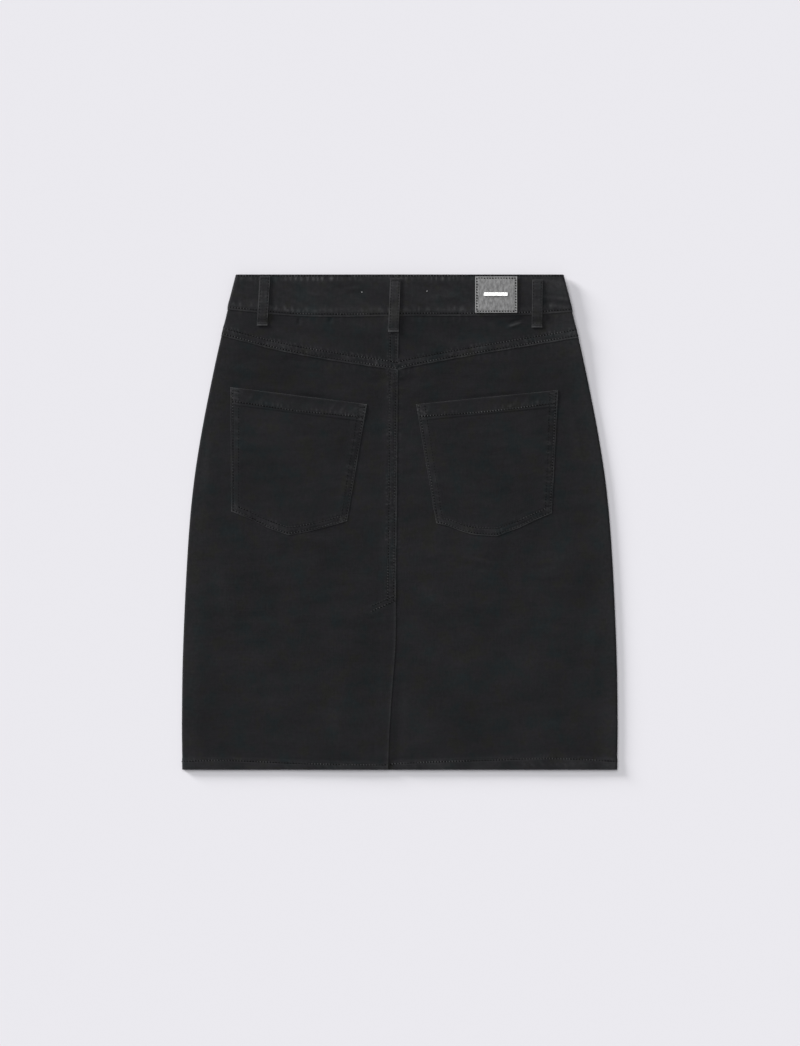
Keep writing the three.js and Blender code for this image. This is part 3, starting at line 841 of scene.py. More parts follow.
def yoke_shape(side, run, y):
    x = held_place(run, y)
    from_centre = centre_edge(y) - run if side < 0 else 99.0
    from_low = y - yoke_edge(side, x)
    under_band = band_seam(x) - y
    shown = kept_outside(run, y)
    proud = max(felled_rise(from_centre), felled_rise(from_low)) * (1.0 if side < 0 else 0.75)
    seed = 27 if side < 0 else 31
    low_rise, low_worn = sewn_edge(run, from_low, SEAM_ROWS, seed)
    centre_rise, centre_worn = sewn_edge(y, from_centre, SEAM_ROWS, seed + 2)
    centre_share = smooth_step(from_low, 6.5, 9.5)
    drawn = puckers(run, 9.0, seed + 4) * beside(under_band, 4.0, 3.0)
    rounded = edge_round(from_centre, from_low)
    fold = creases(YOKE_CREASES, x, y)
    out = (proud + low_rise + centre_rise * centre_share + 0.16 * drawn + rounded + fold) * shown
    worn = low_worn + centre_worn * centre_share + 0.06 * drawn + 0.3 * max(fold, 0.0)
    between = beside(from_low, 5.4, 2.8) * patches(run, 9, seed + 8)
    end = 0.06 * smooth_step(run, 135, 165)
    # The last term is the painted sheen towards the side folds, added to the real wear
    return out, worn + 0.1 * between + end + painted_side_sheen(run, y)


def back_yoke(side):
    name = "yoke_" + half_name(side)
    left_steps = ladder(0, (-EDGE_ROUND, -0.17), (-14, -0.9), (-30, -1.3))
    near = beside_line(centre_edge, left_steps if side < 0 else ladder(-3, (30, 1.2)))
    rows = beside_line(lambda x: yoke_edge(side, x), ladder(0, (EDGE_ROUND, 0.17), (14, 0.9)))
    rows += spread(
        lambda x: yoke_edge(side, x) + 14, lambda x: band_seam(x) + 2.0, ladder(0, (1, 1 / 28))[1:]
    )
    piece = back_piece(name, side_columns(side, near, 1.25), rows, lambda run, y: yoke_shape(side, run, y))
    finish_denim(piece, "back_" + name, rests_on=["front_" + half_name(side)], **YOKE_CUT)


for half in (-1, 1):
    back_yoke(half)


# Waistband
# A doubled band of denim, in one piece round the back. One row of stitches holds its lower edge and
# one its top, and the sewing pulls both edges into puckers. On the front its left end buttons over
# the right one.
BAND_PROUD = 1.0
BAND_WALL = 2.0
BAND_UNDER_WALL = 1.4
BAND_ROW = 3.0
BAND_TOP_ROW = 1.4
BAND_CUT = {"flat": (0.402, 0.045), "area": 0.0177}
FRONT_BAND_CUT = {"flat": (0.198, 0.046), "area": 0.0086}
BAND_LAP = {"end": 12.0, "under": -26.0, "ramp": (15.0, 30.0)}
BAND_CREASES = [
    (-60, 249, -38, 251, 2.0, 0.3),
    (-58, 244, -36, 246, 3.0, -0.3),
    (-104, 246, -84, 243, 2.5, 0.25),
    (30, 240, 66, 243, 3.0, 0.3),
    (20, 252, 60, 250, 3.0, -0.25),
    (-170, 240, -152, 237, 2.5, -0.3),
]


def band_shape(run, y):
    x = held_place(run, y)
    from_low = y - band_seam(x)
    from_top = WAIST_TOP - y
    drawn = puckers(run + 0.1 * from_low, 7.4, 51)
    low_blobs = drawn * beside(from_low, 7.4, 2.6) + 0.4 * puckers(run, 4.6, 53) * beside(from_low, 5.4, 1.4)
    where = 0.35 + 0.9 * beside(x, -78, 30) + 0.4 * beside(x, -120, 18) + 0.25 * beside(x, 36, 34)
    low_where = 0.4 + 0.8 * beside(x, -112, 22) + 0.45 * beside(x, -34, 22) + 0.2 * beside(x, 48, 24)
    top_blobs = puckers(run - 0.1 * from_top, 6.3, 57) * beside(from_top, 4.4, 2.2) * where
    rounded = edge_round(from_low, from_top)
    sunk = 0.22 * beside(from_low, BAND_ROW, 0.8) + 0.18 * beside(from_top, BAND_TOP_ROW, 0.8)
    fold = creases(BAND_CREASES, x, y)
    pressed = 0.5 * (1 - smooth_step(from_low, 0, 6))
    out = BAND_PROUD - pressed + 0.42 * low_blobs + 0.36 * top_blobs - sunk + rounded + fold
    low_patch, top_patch = patches(run, 24, 59), patches(run, 16, 60)
    worn = 0.8 * low_blobs * low_where + 0.85 * top_blobs
    worn += (0.01 + 0.07 * low_patch) * beside(from_low, 7.0, 3.0)
    worn += 0.07 * where * beside(from_top, 5.0, 3.0)
    worn += (0.16 + 0.3 * low_patch) * math.exp(-max(from_low, 0.0) / 0.7)
    worn += 0.1 * top_patch * beside(from_top, BAND_TOP_ROW, 1.0) + 0.02
    worn += 0.05 * patches(run + 2.0 * y, 16, 62)
    far_right = beside(x, 176, 26)
    worn += 0.2 * patches(y + 0.1 * run, 6, 64) * far_right
    worn += (0.04 + 0.12 * far_right + 0.08 * beside(x, -172, 20)) * beside(from_low, 2.4, 2.8)
    return out, worn + 0.2 * max(fold, 0.0)


band_runs = side_columns(1, [lambda y: 0.0], 1.2)
band_columns = [lambda y, run=run: -run(y) for run in reversed(band_runs[1:])] + band_runs
band_rows = beside_line(band_seam, (0, 0.17, 0.34, 0.5))
band_rows += spread(
    lambda x: band_seam(x) + EDGE_ROUND, lambda x: WAIST_TOP - EDGE_ROUND, ladder(0, (1, 1 / 36))[1:-1]
)
band_rows += beside_line(lambda x: WAIST_TOP, (-0.5, -0.34, -0.17, 0))
back_band = back_piece("waistband_back", band_columns, band_rows, band_shape, thickness=BAND_WALL)
finish_denim(back_band, "back_waistband", rests_on=["yoke_left", "yoke_right"], **BAND_CUT)


def front_band_shape(side, x, y):
    """The right band sinks under the left one's end"""
    from_low = y - front_band_seam(x)
    under = 0.0 if side < 0 else 2.5 * (1 - smooth_step(x, *BAND_LAP["ramp"]))
    from_top = WAIST_TOP - front_fall(x) - y
    blobs = puckers(x, 6.2, 61) * beside(from_low, 6.4, 2.3)
    sunk = 0.2 * beside(from_low, BAND_ROW, 0.8) + 0.18 * beside(from_top, BAND_TOP_ROW, 0.8)
    out = BAND_PROUD + 0.3 * blobs - sunk + edge_round(from_low, from_top) - under
    return out, 0.4 * blobs + 0.3 * math.exp(-max(from_low, 0.0) / 0.6)


def front_band(side):
    name = "waistband_front_" + half_name(side)
    wall, start = (BAND_WALL, BAND_LAP["end"]) if side < 0 else (BAND_UNDER_WALL, BAND_LAP["under"])
    shares = ladder(0, (0.004, 0.0013), (0.35, 0.013), (1, 0.02))
    rows = ladder(0, (0.012, 0.004), (0.988, 0.05), (1, 0.004))

    def place(share, up):
        y = WAIST_TOP
        for _ in range(3):
            x = mix(start, side * (flat_half(y) - SIDE_TUCK - SEAM_GAP), share)
            y = mix(front_band_seam(x), WAIST_TOP - front_fall(x), up)
        out, worn = front_band_shape(side, x, y)
        return front_skin(x, y, out), worn, (x * MM, y * MM)

    piece = lay_cloth(name, shares, rows, place, facing_up=False, thickness=wall)
    finish_denim(piece, "front_waistband_" + half_name(side), rests_on=[], **FRONT_BAND_CUT)


for half in (-1, 1):
    front_band(half)


# Patch pockets
# Five-cornered pockets laid on the panels, with a doubled hem along the mouth. Two rows of stitches
# hold the turned edges, which pucker a little inside the sewing.
POCKET_CUT = {"flat": (0.150, 0.148), "area": 0.0192}
POCKET_HEM_ROW = 3.0
POCKET_TURNED = 9.0
POCKET_ROWS = (2.2, 8.2)
POCKET_TALL = 142.0
# Each pocket's lower edge, by place across and height, its hem's depth, and the panel under it
POCKETS = {
    "pocket_left": {
        "mouth": MOUTHS[0],
        "low": [
            (-180.3, 11.4), (-161.4, 3.6), (-143.3, -5.5), (-130.9, -10.3), (-121.5, -13.4),
            (-118.8, -14.0), (-116.0, -13.8), (-108.5, -12.5), (-95.5, -9.8), (-79.1, -5.6), (-56.2, 1.1),
        ],
        "hem": 18.5,
        "panel": "back_left",
        "seed": 71,
    },
    "pocket_right": {
        "mouth": MOUTHS[1],
        "low": [
            (39.1, -1.3), (52.9, -5.0), (68.0, -10.6), (78.0, -13.3), (92.0, -14.6),
            (103.9, -15.1), (107.0, -14.1), (113.5, -11.4), (126.9, -6.6), (142.9, 1.0), (162.9, 9.5),
        ],
        "hem": 17.6,
        "panel": "back_right",
        "seed": 81,
    },
}
POCKET_CREASES = [
    (-60, 112, -70, 70, 7.0, 0.3),
    (-150, 60, -120, 30, 9.0, 0.3),
    (-96, 96, -80, 40, 8.0, -0.25),
    (70, 100, 96, 60, 8.0, 0.25),
    (120, 70, 136, 30, 7.0, 0.3),
    (64, 52, 100, 34, 6.0, -0.3),
    (86, 84, 128, 80, 4.0, 0.25),
]


for pocket_row in POCKETS.values():
    pocket_row["low_edge"] = smooth_curve(pocket_row["low"])


def pocket_point(pocket, share, up_share):
    """A place on a pocket, from its share across and its share up, and how tall it is there"""
    (left_x, left_y), (right_x, right_y) = pocket["mouth"]
    low_x = mix(pocket["low"][0][0], pocket["low"][-1][0], share)
    low_y = pocket["low_edge"](low_x)
    high_x, high_y = mix(left_x, right_x, share), mix(left_y, right_y, share)
    return mix(low_x, high_x, up_share), mix(low_y, high_y, up_share), high_y - low_y


def pocket_width(pocket, up_share):
    low_width = pocket["low"][-1][0] - pocket["low"][0][0]
    return mix(low_width, pocket["mouth"][1][0] - pocket["mouth"][0][0], up_share)


def pocket_shape(pocket, share, up_share):
    x, y, tall = pocket_point(pocket, share, up_share)
    wide = pocket_width(pocket, up_share)
    hem = pocket["hem"]
    up = up_share * tall
    along = share * wide
    from_top = tall - up
    from_left, from_right = along, wide - along
    edge = min(from_left, from_right, up)
    seed = pocket["seed"]
    hemmed = 0.4 * (1 - smooth_step(from_top, hem - 0.4, hem + 0.6))
    turned = 0.1 * (1 - smooth_step(edge, POCKET_TURNED, POCKET_TURNED + 6))
    below_hem = smooth_step(from_top, hem, hem + 8)
    left_rise, left_worn = sewn_edge(y, from_left, POCKET_ROWS[:1], seed, edge=0.25, rub=0.2)
    right_rise, right_worn = sewn_edge(y, from_right, POCKET_ROWS[:1], seed + 20, edge=0.7, rub=0.5)
    low_rise, low_worn = sewn_edge(along, up, POCKET_ROWS, seed + 40, pitch=3.6, edge=0.9, rub=0.75)
    side_drawn = 0.6 * puckers(y + 0.3 * from_left, 10.0, seed + 1) * beside(from_left, 7.5, 2.4)
    side_drawn += puckers(y - 0.3 * from_right, 8.0, seed + 2) * beside(from_right, 7.0, 2.8)
    side_drawn *= below_hem
    hem_drawn = puckers(along + 0.7 * from_top, 13.0, seed + 3) * beside(from_top, 9.0, 4.5)
    hem_line = beside(from_top, hem - POCKET_HEM_ROW, 1.2)
    hem_teeth = puckers(along, 5.0, seed + 4) * beside(from_top, hem - POCKET_HEM_ROW - 2.6, 1.8)
    pressed = mix(0.5, 0.8, smooth_step(from_left, 4, 22)) * (1 - smooth_step(edge, 0.2, 11.0))
    fold = creases(POCKET_CREASES, x, y) * smooth_step(min(edge, from_top - hem), 8, 22)
    rise = 1.3 + max(hemmed, turned) - pressed + left_rise + right_rise + low_rise
    rise += 0.34 * side_drawn + 0.22 * hem_drawn + 0.2 * hem_teeth - 0.2 * hem_line + fold
    corner = beside(min(from_left, from_right), 0, 9) * beside(from_top, 0, 18)
    corner = max(corner, 0.7 * beside(min(from_left, from_right), 0, 8) * beside(up, 0, 8))
    speckle = patches(x + 2.3 * y, 3.4, seed + 5)
    worn = left_worn + right_worn + low_worn + 0.2 * side_drawn + 0.12 * hem_drawn + 0.22 * hem_teeth
    worn += (0.01 + 0.06 * patches(along, 22, seed + 6)) * hem_line + 0.36 * corner * speckle
    worn += 0.04 * patches(along, 24, seed + 8) * beside(from_top, 10.0, 5.5)
    worn += 0.14 * patches(along, 16, seed + 9) * math.exp(-max(from_top, 0.0) / 0.7)
    worn += 0.07 * patches(along, 14, seed + 11) * beside(up, 5.0, 2.8) + 0.03 * beside(from_right, 5.0, 4.0)
    return x, y, rise + edge_round(edge, from_top), worn


def patch_pocket(name, pocket):
    columns = ladder(0, (0.004, 0.0013), (0.996, 0.0085), (1, 0.0013))
    rows = ladder(0, (0.004, 0.0013), (0.84, 0.0088), (0.9, 0.004), (0.996, 0.0088), (1, 0.0013))

    def place(share, up_share):
        x, y, rise, worn = pocket_shape(pocket, share, up_share)
        across = share * pocket_width(pocket, 1.0)
        return back_skin(x, y, rise), worn, (across * MM, up_share * 0.14)

    piece = lay_cloth(name, columns, rows, place)
    finish_denim(piece, "back_" + name, rests_on=[pocket["panel"]], **POCKET_CUT)


for pocket_name, pocket_row in POCKETS.items():
    patch_pocket(pocket_name, pocket_row)


# Belt loops
# Narrow strips of denim folded in three and sewn along both edges. Each end is turned under and
# tacked down, and the strip bows a little off the waistband.
LOOP_WIDTH = 11.4
LOOP_WALL = 1.1
LOOP_BOW = 0.4
LOOP_ROW = 1.6
LOOPS = {
    "back_left": {"top": (-144.0, 263.4), "low": (-147.1, 209.9), "seat": 0.0, "face": "back"},
    "back_centre": {"top": (-4.5, 261.0), "low": (-6.7, 203.1), "seat": SEAM_PROUD, "face": "back"},
    "back_right": {"top": (147.5, 259.4), "low": (146.9, 207.8), "seat": 0.0, "face": "back"},
    "front_left": {"top": (-92, 253.6), "low": (-92, 203.0), "seat": 0.0, "face": "front"},
    "front_right": {"top": (92, 253.6), "low": (92, 203.0), "seat": 0.0, "face": "front"},
}


def loop_height(loop, across, up):
    """The place and the outer height of a loop, at a distance across from its middle and up it"""
    (top_x, top_y), (low_x, low_y) = loop["top"], loop["low"]
    tall = top_y - low_y
    x = mix(low_x, top_x, up / tall) + across
    y = low_y + up
    seam = band_seam(x) if loop["face"] == "back" else front_band_seam(x)
    on_band = smooth_step(y, seam - 8, seam - 1.5)
    base = SEAM_GAP + max(loop["seat"], BAND_PROUD * on_band) + LOOP_BOW * math.sin(math.pi * up / tall)
    ended = 0.3 * (1 - smooth_step(up, 2.6, 4.4)) - 0.25 * (1 - smooth_step(up, 6, 18))
    return x, y, base + 1.05 + ended


def belt_loop(name, loop):
    half = LOOP_WIDTH / 2
    tall = loop["top"][1] - loop["low"][1]
    columns = edged_ladder(-half, half, 0.17, 0.8)
    rows = ladder(0, (EDGE_ROUND, 0.17), (5, 0.6), (tall - EDGE_ROUND, 1.1), (tall, 0.17))
    skin = back_skin if loop["face"] == "back" else front_skin
    seed = 90 + 3 * loop["top"][0]

    def place(across, up):
        x, y, height = loop_height(loop, across, up)
        side = half - abs(across)
        drawn = puckers(up, 3.6, seed) * beside(side, 3.4, 1.4)
        height += 0.16 * drawn - 0.16 * beside(side, LOOP_ROW, 0.6) + edge_round(side, up, tall - up)
        blotch = patches(up, 7, seed + 3)
        upper = smooth_step(up, 6, 14)
        worn = 0.03 + 0.05 * upper + 0.12 * blotch
        rubbed = (0.08 + 0.26 * patches(up, 9, seed + 5 * math.copysign(1, across))) * mix(0.3, 1.0, upper)
        worn += rubbed * beside(side, 0.7, 0.7)
        worn += 0.16 * drawn + 0.5 * beside(up, 1.3, 1.0)
        return skin(x, y, height), worn, (across * MM, up * MM)

    facing_up = loop["face"] == "back"
    piece = lay_cloth("loop_" + name, columns, rows, place, facing_up, LOOP_WALL)
    rests_on = ["waistband_back"] if facing_up else ["waistband_front_left", "waistband_front_right"]
    finish_denim(piece, "belt_loop_" + name, (LOOP_WIDTH * MM, tall * MM), None, rests_on)


for loop_name, loop_row in LOOPS.items():
    belt_loop(loop_name, loop_row)


# Leather patch
# A plain piece of soft grey leather sewn on the waistband with dark thread, and a bright metal bar
# fixed across its middle. The bar is blank.
PATCH = {"left": 80.8, "right": 125.7, "low": 223.9, "high": 262.7}
PATCH_WALL = 1.3
PATCH_BASE = BAND_PROUD + SEAM_GAP
PATCH_ROW = 1.7
BAR = {"left": 89.9, "right": 115.5, "low": 241.9, "high": 245.7}
BAR_WALL = 0.7
LEATHER_DARK = (0.125, 0.124, 0.125, 1)
LEATHER_LIGHT = (0.255, 0.254, 0.255, 1)
LEATHER_EDGE = (0.30, 0.30, 0.30, 1)
STEEL_COLOUR = (0.92, 0.92, 0.91, 1)


def inset_in(box, x, y):
    """How far a place is inside a box's nearest edge"""
    return min(x - box["left"], box["right"] - x, y - box["low"], box["high"] - y)


def plate(name, box, thickness, fine, steps, height):
    """A small flat piece on the band, from its box and a function for its height and wear"""
    def place(x, y):
        out, worn = height(x, y)
        return back_skin(x, y, out), worn, (x * MM, y * MM)

    columns = edged_ladder(box["left"], box["right"], fine, steps[0])
    rows = edged_ladder(box["low"], box["high"], fine, steps[1])
    piece = lay_cloth(name, columns, rows, place, thickness=thickness)
    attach(piece, "root")
    return piece


def patch_height(x, y):
    inset = inset_in(PATCH, x, y)
    sewn = 0.28 * math.exp(-((inset - PATCH_ROW) / 0.7) ** 2)
    puffed = 0.12 * smooth_step(inset, 2, 8)
    uneven = 0.10 * noise.noise(Vector((x / 9, y / 9, 3.3)))
    out = PATCH_BASE + PATCH_WALL - sewn + puffed + uneven + edge_round(inset)
    return out, 0.7 * math.exp(-inset / 0.9)


def grey_leather():
    material, tree, shader = new_material("grey_leather", {"Roughness": 0.62, "Specular IOR Level": 0.35})
    coordinates = add_node(tree, "TexCoord")
    grain = add_node(tree, "TexVoronoi", {"Scale": 900.0}, feature="DISTANCE_TO_EDGE")
    slant = {"Rotation": (0, 0, math.radians(-32)), "Scale": (430, 190, 300)}
    slanted = add_node(tree, "Mapping", slant)
    stain = add_node(tree, "TexNoise", {"Scale": 1.0, "Detail": 4.0, "Roughness": 0.62})
    colour = ramp_node(tree, (0.36, LEATHER_DARK), (0.64, LEATHER_LIGHT))
    wear_and_sheen = add_node(tree, "Attribute", attribute_name="wear_and_sheen")
    edged = add_node(tree, "Mix", {"B": LEATHER_EDGE}, data_type="RGBA")
    bump = add_node(tree, "Bump", {"Strength": 0.4, "Distance": 0.0002})
    link_sockets(
        tree,
        (coordinates, "Object", grain, "Vector"),
        (coordinates, "Object", slanted, "Vector"),
        (slanted, "Vector", stain, "Vector"),
        (stain, "Fac", colour, "Fac"),
        (colour, "Color", edged, "A"),
        (wear_and_sheen, "Fac", edged, "Factor"),
        (edged, "Result", shader, "Base Color"),
        (grain, "Distance", bump, "Height"),
        (bump, "Normal", shader, "Normal"),
    )
    return material


patch = plate("leather_patch", PATCH, PATCH_WALL, 0.17, (0.6, 0.6), patch_height)
patch.data.materials.append(grey_leather())
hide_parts("waist_patch")


def bright_metal(roughness):
    """Steel brushed across, with its roughness a little uneven"""
    material, tree, shader = new_material("bright_metal", {"Base Color": STEEL_COLOUR, "Metallic": 1.0})
    coordinates = add_node(tree, "TexCoord")
    stretched = add_node(tree, "Mapping", {"Scale": (60, 2600, 60)})
    brushed = add_node(tree, "TexNoise", {"Scale": 1.0, "Detail": 3.0})
    rough = add_node(tree, "MapRange", {"To Min": roughness - 0.1, "To Max": roughness + 0.12})
    link_sockets(
        tree,
        (coordinates, "Object", stretched, "Vector"),
        (stretched, "Vector", brushed, "Vector"),
        (brushed, "Fac", rough, "Value"),
        (rough, "Result", shader, "Roughness"),
    )
    return material


def bar_height(x, y):
    return PATCH_BASE + PATCH_WALL + SEAM_GAP + BAR_WALL + edge_round(inset_in(BAR, x, y)) * 0.8, 0.0


metal_bar = plate("metal_bar", BAR, BAR_WALL, 0.1, (1.5, 0.6), bar_height)
BRIGHT_METAL = bright_metal(0.34)
metal_bar.data.materials.append(BRIGHT_METAL)
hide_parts("patch_bar")


# Waist button
# A plain shank button of bright metal on the front of the waistband, with a rim round a dished
# face. Its disc is spun from half a section.
BUTTON = {"radius": 8.5, "thick": 2.1, "rim": 1.2, "dish": 0.5, "sides": 96}


def waist_button():
    middle_y = mix(front_band_seam(0), WAIST_TOP - front_fall(0), 0.5)
    top = FRONT_LIFT - BAND_PROUD - SEAM_GAP
    radius, thick, rim, dish = BUTTON["radius"], BUTTON["thick"], BUTTON["rim"], BUTTON["dish"]
    section = [
        (0, 0), (radius - 0.5, 0), (radius - 0.15, 0.15), (radius, 0.5), (radius, thick - 0.7),
        (radius - 0.2, thick - 0.2), (radius - 0.6, thick), (radius - rim, thick - 0.15),
        (radius - rim - 0.5, thick - dish), (radius * 0.5, thick - dish - 0.1), (0, thick - dish - 0.2),
    ]
    bm = bmesh.new()
    verts = [bm.verts.new((r * MM, middle_y * MM, (top - down) * MM)) for r, down in section]
    edges = [bm.edges.new(pair) for pair in zip(verts, verts[1:])]
    bmesh.ops.spin(
        bm, geom=verts + edges, cent=(0, middle_y * MM, 0), axis=(0, 0, 1),
        angle=2 * math.pi, steps=BUTTON["sides"], use_merge=True,
    )
    bmesh.ops.remove_doubles(bm, verts=bm.verts, dist=1e-6)
    bmesh.ops.recalc_face_normals(bm, faces=bm.faces)
    piece = placed("shank_button", bm)
    piece.data.materials.append(BRIGHT_METAL)
    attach(piece, "root")
    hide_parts("waist_button")


waist_button()


# Stitching
# Rows of thick black thread along every seam, edge and hem. Each stitch is one short bulge of
# thread, and dense short ones make the tacks on the loops and at the pockets' corners.
STITCH = {"long": 1.9, "pitch": 3.05, "wide": 1.5, "high": 0.7, "teeth": 0.8, "seen": (0.55, 1.0)}
POCKET_STITCH = {**STITCH, "wide": 1.3, "teeth": 0.5, "seen": (0.1, 0.9)}
CENTRE_STITCH = {**STITCH, "wide": 1.2, "teeth": 0.4, "seen": (0.1, 0.8)}
FLAT_STITCH = {**STITCH, "wide": 0.8, "high": 0.3, "teeth": 0.0, "seen": (0.1, 0.8)}
PATCH_STITCH = {**STITCH, "pitch": 2.8, "wide": 1.6, "high": 0.9, "teeth": 0.0, "seen": (1.0, 1.0)}
TACK = {
    "long": 1.9, "pitch": 0.6, "wide": 0.5, "high": 0.4, "teeth": 0.0, "seen": (0.9, 1.0),
    "thread": 2, "along": Vector((0, 1, 0)),
}
SPECK = {"long": 1.3, "pitch": 1.2, "wide": 0.8, "high": 0.4, "teeth": 0.0, "seen": (1.0, 1.0), "thread": 3}
TOOTH = Vector((0.6, 0.95, 0.26))
THREAD_COLOUR = (0.0016, 0.0016, 0.0018, 1)
RUBBED_THREAD = (0.022, 0.022, 0.023, 1)
PALE_THREAD = (0.30, 0.30, 0.30, 1)


def thread(name, thread_colour):
    material, tree, shader = new_material(name, {"Roughness": 0.85, "Specular IOR Level": 0.08})
    coordinates = add_node(tree, "TexCoord")
    fibres = add_node(tree, "TexNoise", {"Scale": 3500.0, "Detail": 2.0})
    light = tuple(2.2 * part for part in thread_colour[:3]) + (1,)
    twisted = ramp_node(tree, (0.35, thread_colour), (0.75, light))
    wear_and_sheen = add_node(tree, "Attribute", attribute_name="wear_and_sheen")
    colour = add_node(tree, "Mix", {"B": BLACK_LIGHT}, data_type="RGBA")
    bump = add_node(tree, "Bump", {"Strength": 0.3, "Distance": 0.0001})
    link_sockets(
        tree,
        (coordinates, "Object", fibres, "Vector"),
        (fibres, "Fac", twisted, "Fac"),
        (twisted, "Color", colour, "A"),
        (wear_and_sheen, "Fac", colour, "Factor"),
        (colour, "Result", shader, "Base Color"),
        (fibres, "Fac", bump, "Height"),
        (bump, "Normal", shader, "Normal"),
    )
    return material


THREAD = thread("black_thread", THREAD_COLOUR)
TACK_THREAD = thread("rubbed_black_thread", RUBBED_THREAD)
SPECK_THREAD = thread("pale_thread", PALE_THREAD)


def rubbed_denim():
    """The cloth that stands up between stitches, as light as it's rubbed"""
    material, tree, shader = new_material("rubbed_denim", {"Roughness": 0.9, "Specular IOR Level": 0.1})
    wear_and_sheen = add_node(tree, "Attribute", attribute_name="wear_and_sheen")
    colour = ramp_node(tree, (0.0, BLACK_MIDDLE), (1.0, WORN_AND_SHEEN_GREY))
    link_sockets(tree, (wear_and_sheen, "Fac", colour, "Fac"), (colour, "Color", shader, "Base Color"))
    return material


RUBBED = rubbed_denim()


class Sewing:
    """All the stitches of one piece, gathered row by row and joined into one mesh"""

    def __init__(self, name):
        self.name = name
        self.rows = []

    def row(self, point, places, kind=STITCH):
        """Stitches along a line of places. point(place, out) gives the spot over the cloth. Where the
        cloth lies on the surface, they are pressed in"""
        spots = [point(place, 0.0) for place in places]
        lengths = [0.0]
        for first, second in zip(spots, spots[1:]):
            lengths.append(lengths[-1] + (second - first).length)
        count = max(int(lengths[-1] / kind["pitch"]), 1)
        pitch = lengths[-1] / count
        bm = bmesh.new()
        wear_and_sheen = bm.verts.layers.float.new("wear_and_sheen")
        stitch_size = Vector((kind["long"] / 2, kind["wide"] / 2, kind["high"] / 2))
        seed = len(self.rows) + spots[0].x
        step = 0
        for number in range(2 * count):
            place = (number + 0.5) * pitch / 2
            while step < len(lengths) - 2 and lengths[step + 1] < place:
                step += 1
            share = (place - lengths[step]) / max(lengths[step + 1] - lengths[step], 1e-6)
            spot = spots[step].lerp(spots[step + 1], share)
            up = (point(places[step], 1.0) - spots[step]).normalized()
            along = kind.get("along", (spots[step + 1] - spots[step]).normalized())
            side = up.cross(along).normalized()
            axes = Matrix((side.cross(up), side, up)).transposed().to_4x4()
            tooth = number % 2 == 1
            rubbed = kind["teeth"] * (0.15 + 0.85 * patches(place, 19, seed))
            if tooth and rubbed < 0.1:
                continue
            uneven = noise.noise(Vector((0.9 * place, seed, 2.2)))
            size = (TOOTH if tooth else stitch_size) * (1 + 0.3 * uneven)
            height = (0.02 if tooth else 0.1) - (0.3 if up.z < 0 and spot.z < 1 else 0.0)
            seat = Matrix.Translation(spot + up * height + side * (0.3 * uneven))
            made = bmesh.ops.create_uvsphere(
                bm, u_segments=5 if tooth else 7, v_segments=4 if tooth else 5, radius=1.0,
                matrix=Matrix.Scale(MM, 4) @ seat @ axes @ Matrix.Diagonal((*size, 1)),
            )
            faded = 1 - mix(*kind["seen"], patches(place, 13, seed + 0.6))
            for vert in made["verts"]:
                vert[wear_and_sheen] = rubbed if tooth else faded
                for face in vert.link_faces:
                    face.material_index = 1 if tooth else kind.get("thread", 0)
        mesh = bpy.data.meshes.new("row")
        bm.to_mesh(mesh)
        bm.free()
        self.rows.append(mesh)

    def sewn(self):
        bm = bmesh.new()
        for mesh in self.rows:
            bm.from_mesh(mesh)
            bpy.data.meshes.remove(mesh)
        piece = placed(self.name, bm)
        for material in (THREAD, RUBBED, TACK_THREAD, SPECK_THREAD):
            piece.data.materials.append(material)
        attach(piece, "root")


def on_back(shape):
    def point(place, out):
        run, y = place
        return back_skin(run, y, shape(run, y)[0] + out)

    return point


def run_to_seam(side, y):
    return side * (flat_half(y) + math.pi * fold_radius(y) + SIDE_TUCK - 0.8)


def across_places(start, side, height):
    """Places from a run out to the side seam, at a height that depends on the place across"""
    end = run_to_seam(side, height(side * 180.0))
    runs = ladder(side * abs(start), (end, 2 * side))
    return [(run, height(held_place(run, 190.0))) for run in runs]


seam_sewing = Sewing("seam_stitches")
yoke_left_point = on_back(lambda run, y: yoke_shape(-1, run, y))
yoke_right_point = on_back(lambda run, y: yoke_shape(1, run, y))
left_point = on_back(left_panel_shape)
right_point = on_back(right_panel_shape)
band_point = on_back(band_shape)
for inset in SEAM_ROWS:
    seam_sewing.row(yoke_left_point, across_places(-2.5, -1, lambda x: yoke_edge(-1, x) + inset))
    seam_sewing.row(yoke_right_point, across_places(0.6, 1, lambda x: yoke_edge(1, x) + inset))
    on_yoke = ladder(yoke_edge(-1, -inset) + 9, (band_seam(0) - 2, 2))
    on_panel = ladder(VENT_TOP + 2, (yoke_edge(-1, -inset) - 1, 2))
    seam_sewing.row(yoke_left_point, [(centre_edge(y) - inset, y) for y in on_yoke], CENTRE_STITCH)
    seam_sewing.row(left_point, [(centre_edge(y) - inset, y) for y in on_panel], CENTRE_STITCH)
    start_x = centre_edge(VENT_TOP) - 1.0
    start_y = VENT_TOP + 2 + (SEAM_ROWS[1] - inset) * 0.9
    slant = [(start_x - step, start_y - VENT_SLOPE * step) for step in ladder(0, (26, 2))]
    seam_sewing.row(left_point, slant)
seam_sewing.sewn()

band_sewing = Sewing("band_stitches")
for side in (-1, 1):
    band_sewing.row(band_point, across_places(0, side, lambda x: band_seam(x) + BAND_ROW))
    band_sewing.row(band_point, across_places(0, side, lambda x: WAIST_TOP - BAND_TOP_ROW))
band_sewing.sewn()

hem_sewing = Sewing("hem_stitches")
hem_end = run_to_seam(1, HEM_LINE)
hem_middle = centre_edge(HEM_LINE)
for point, places in (
    (left_point, ladder(-hem_end, (hem_middle - 1, 2))),
    (right_point, ladder(hem_middle + 2, (hem_end, 2))),
):
    hem_sewing.row(point, [(run, HEM_LINE + hem_row(run)) for run in places])
hem_sewing.sewn()


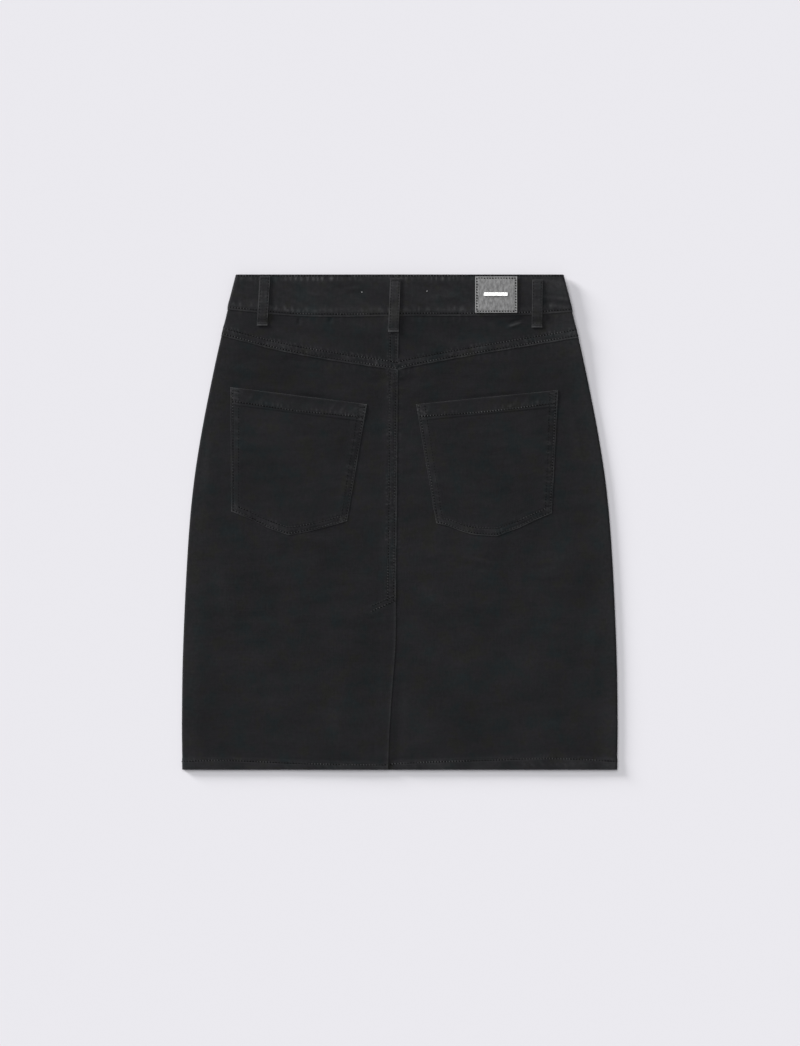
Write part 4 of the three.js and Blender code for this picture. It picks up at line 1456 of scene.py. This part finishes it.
def pocket_row_point(pocket):
    def point(place, out):
        x, y, rise, _ = pocket_shape(pocket, *place)
        return back_skin(x, y, rise + out)

    return point


for pocket_name, pocket_row in POCKETS.items():
    pocket_sewing = Sewing(pocket_name + "_stitches")
    point = pocket_row_point(pocket_row)
    wide = pocket_width(pocket_row, 0.5)
    for inset in POCKET_ROWS:
        side_share, low_share = inset / wide, inset / POCKET_TALL
        kind = POCKET_STITCH if inset == POCKET_ROWS[0] else FLAT_STITCH
        for share in (side_share, 1 - side_share):
            pocket_sewing.row(point, [(share, up) for up in ladder(low_share, (0.992, 0.015))], kind)
        low_places = [(share, low_share) for share in ladder(side_share, (1 - side_share, 0.015))]
        pocket_sewing.row(point, low_places, POCKET_STITCH)
    hem_share = 1 - (pocket_row["hem"] - POCKET_HEM_ROW) / POCKET_TALL
    pocket_sewing.row(point, [(share, hem_share) for share in ladder(0.012, (0.988, 0.015))])
    for share in (0.012, 0.945):
        places = [(share + 0.0035 * number, 0.978) for number in range(13)]
        pocket_sewing.row(point, places, TACK)
    pocket_sewing.sewn()

for loop_name, loop_row in LOOPS.items():
    loop_sewing = Sewing("loop_" + loop_name + "_stitches")
    skin = back_skin if loop_row["face"] == "back" else front_skin

    def loop_point(place, out, loop=loop_row, skin=skin):
        x, y, height = loop_height(loop, *place)
        dent = 0.16 * beside(LOOP_WIDTH / 2 - abs(place[0]), LOOP_ROW, 0.6)
        return skin(x, y, height - dent + out)

    tall = loop_row["top"][1] - loop_row["low"][1]
    for across in (LOOP_ROW - LOOP_WIDTH / 2, LOOP_WIDTH / 2 - LOOP_ROW):
        loop_sewing.row(loop_point, [(across, up) for up in ladder(4.4, (tall - 1, 2))], FLAT_STITCH)
    for up in (3.2, tall - 2.0):
        loop_sewing.row(loop_point, [(across, up) for across in ladder(-4.4, (4.4, 1.1))], TACK)
    loop_sewing.sewn()

front_sewing = Sewing("front_stitches")


def front_point(place, out):
    x, y = place
    return front_skin(x, y, front_panel_shape(-1 if x < 0 else 1, x, y)[0] + out)


def front_band_point(place, out):
    side, x, y = place
    return front_skin(x, y, front_band_shape(side, x, y)[0] + out)


for inset in FRONT_ROWS:
    front_sewing.row(front_point, [(-inset, y) for y in ladder(HEM_LINE + 12, (205, 2))])
for side in (-1, 1):
    reach = flat_half(0) - SIDE_TUCK - 4
    front_sewing.row(front_point, [(side * x, HEM_LINE + FRONT_HEM_ROW) for x in ladder(2, (reach, 2))])
    start = BAND_LAP["end"] + 2 * side
    runs = [side * x for x in ladder(side * start, (flat_half(WAIST_TOP) - SIDE_TUCK - 3, 2))]
    front_sewing.row(front_band_point, [(side, x, front_band_seam(x) + BAND_ROW) for x in runs])
    top_row = [(side, x, WAIST_TOP - front_fall(x) - BAND_TOP_ROW) for x in runs]
    front_sewing.row(front_band_point, top_row)
front_sewing.sewn()


def patch_point(place, out):
    return back_skin(*place, patch_height(*place)[0] + out)


patch_sewing = Sewing("patch_stitches")
left, right = PATCH["left"] + PATCH_ROW, PATCH["right"] - PATCH_ROW
low, high = PATCH["low"] + PATCH_ROW, PATCH["high"] - PATCH_ROW
corners = [(left, low), (right, low), (right, high), (left, high), (left, low)]
for (start_x, start_y), (end_x, end_y) in zip(corners, corners[1:]):
    places = [(mix(start_x, end_x, t), mix(start_y, end_y, t)) for t in ladder(0, (1, 0.1))]
    patch_sewing.row(patch_point, places, PATCH_STITCH)
patch_sewing.sewn()

# The two pale tacks that hold the label inside the waistband
SPECKS = [(-40.4, 246.3), (29.2, 247.3)]
label_tacks = Sewing("label_tacks")
for x, y in SPECKS:
    label_tacks.row(band_point, [(x, y - 0.6), (x, y), (x, y + 0.6)], SPECK)
label_tacks.sewn()
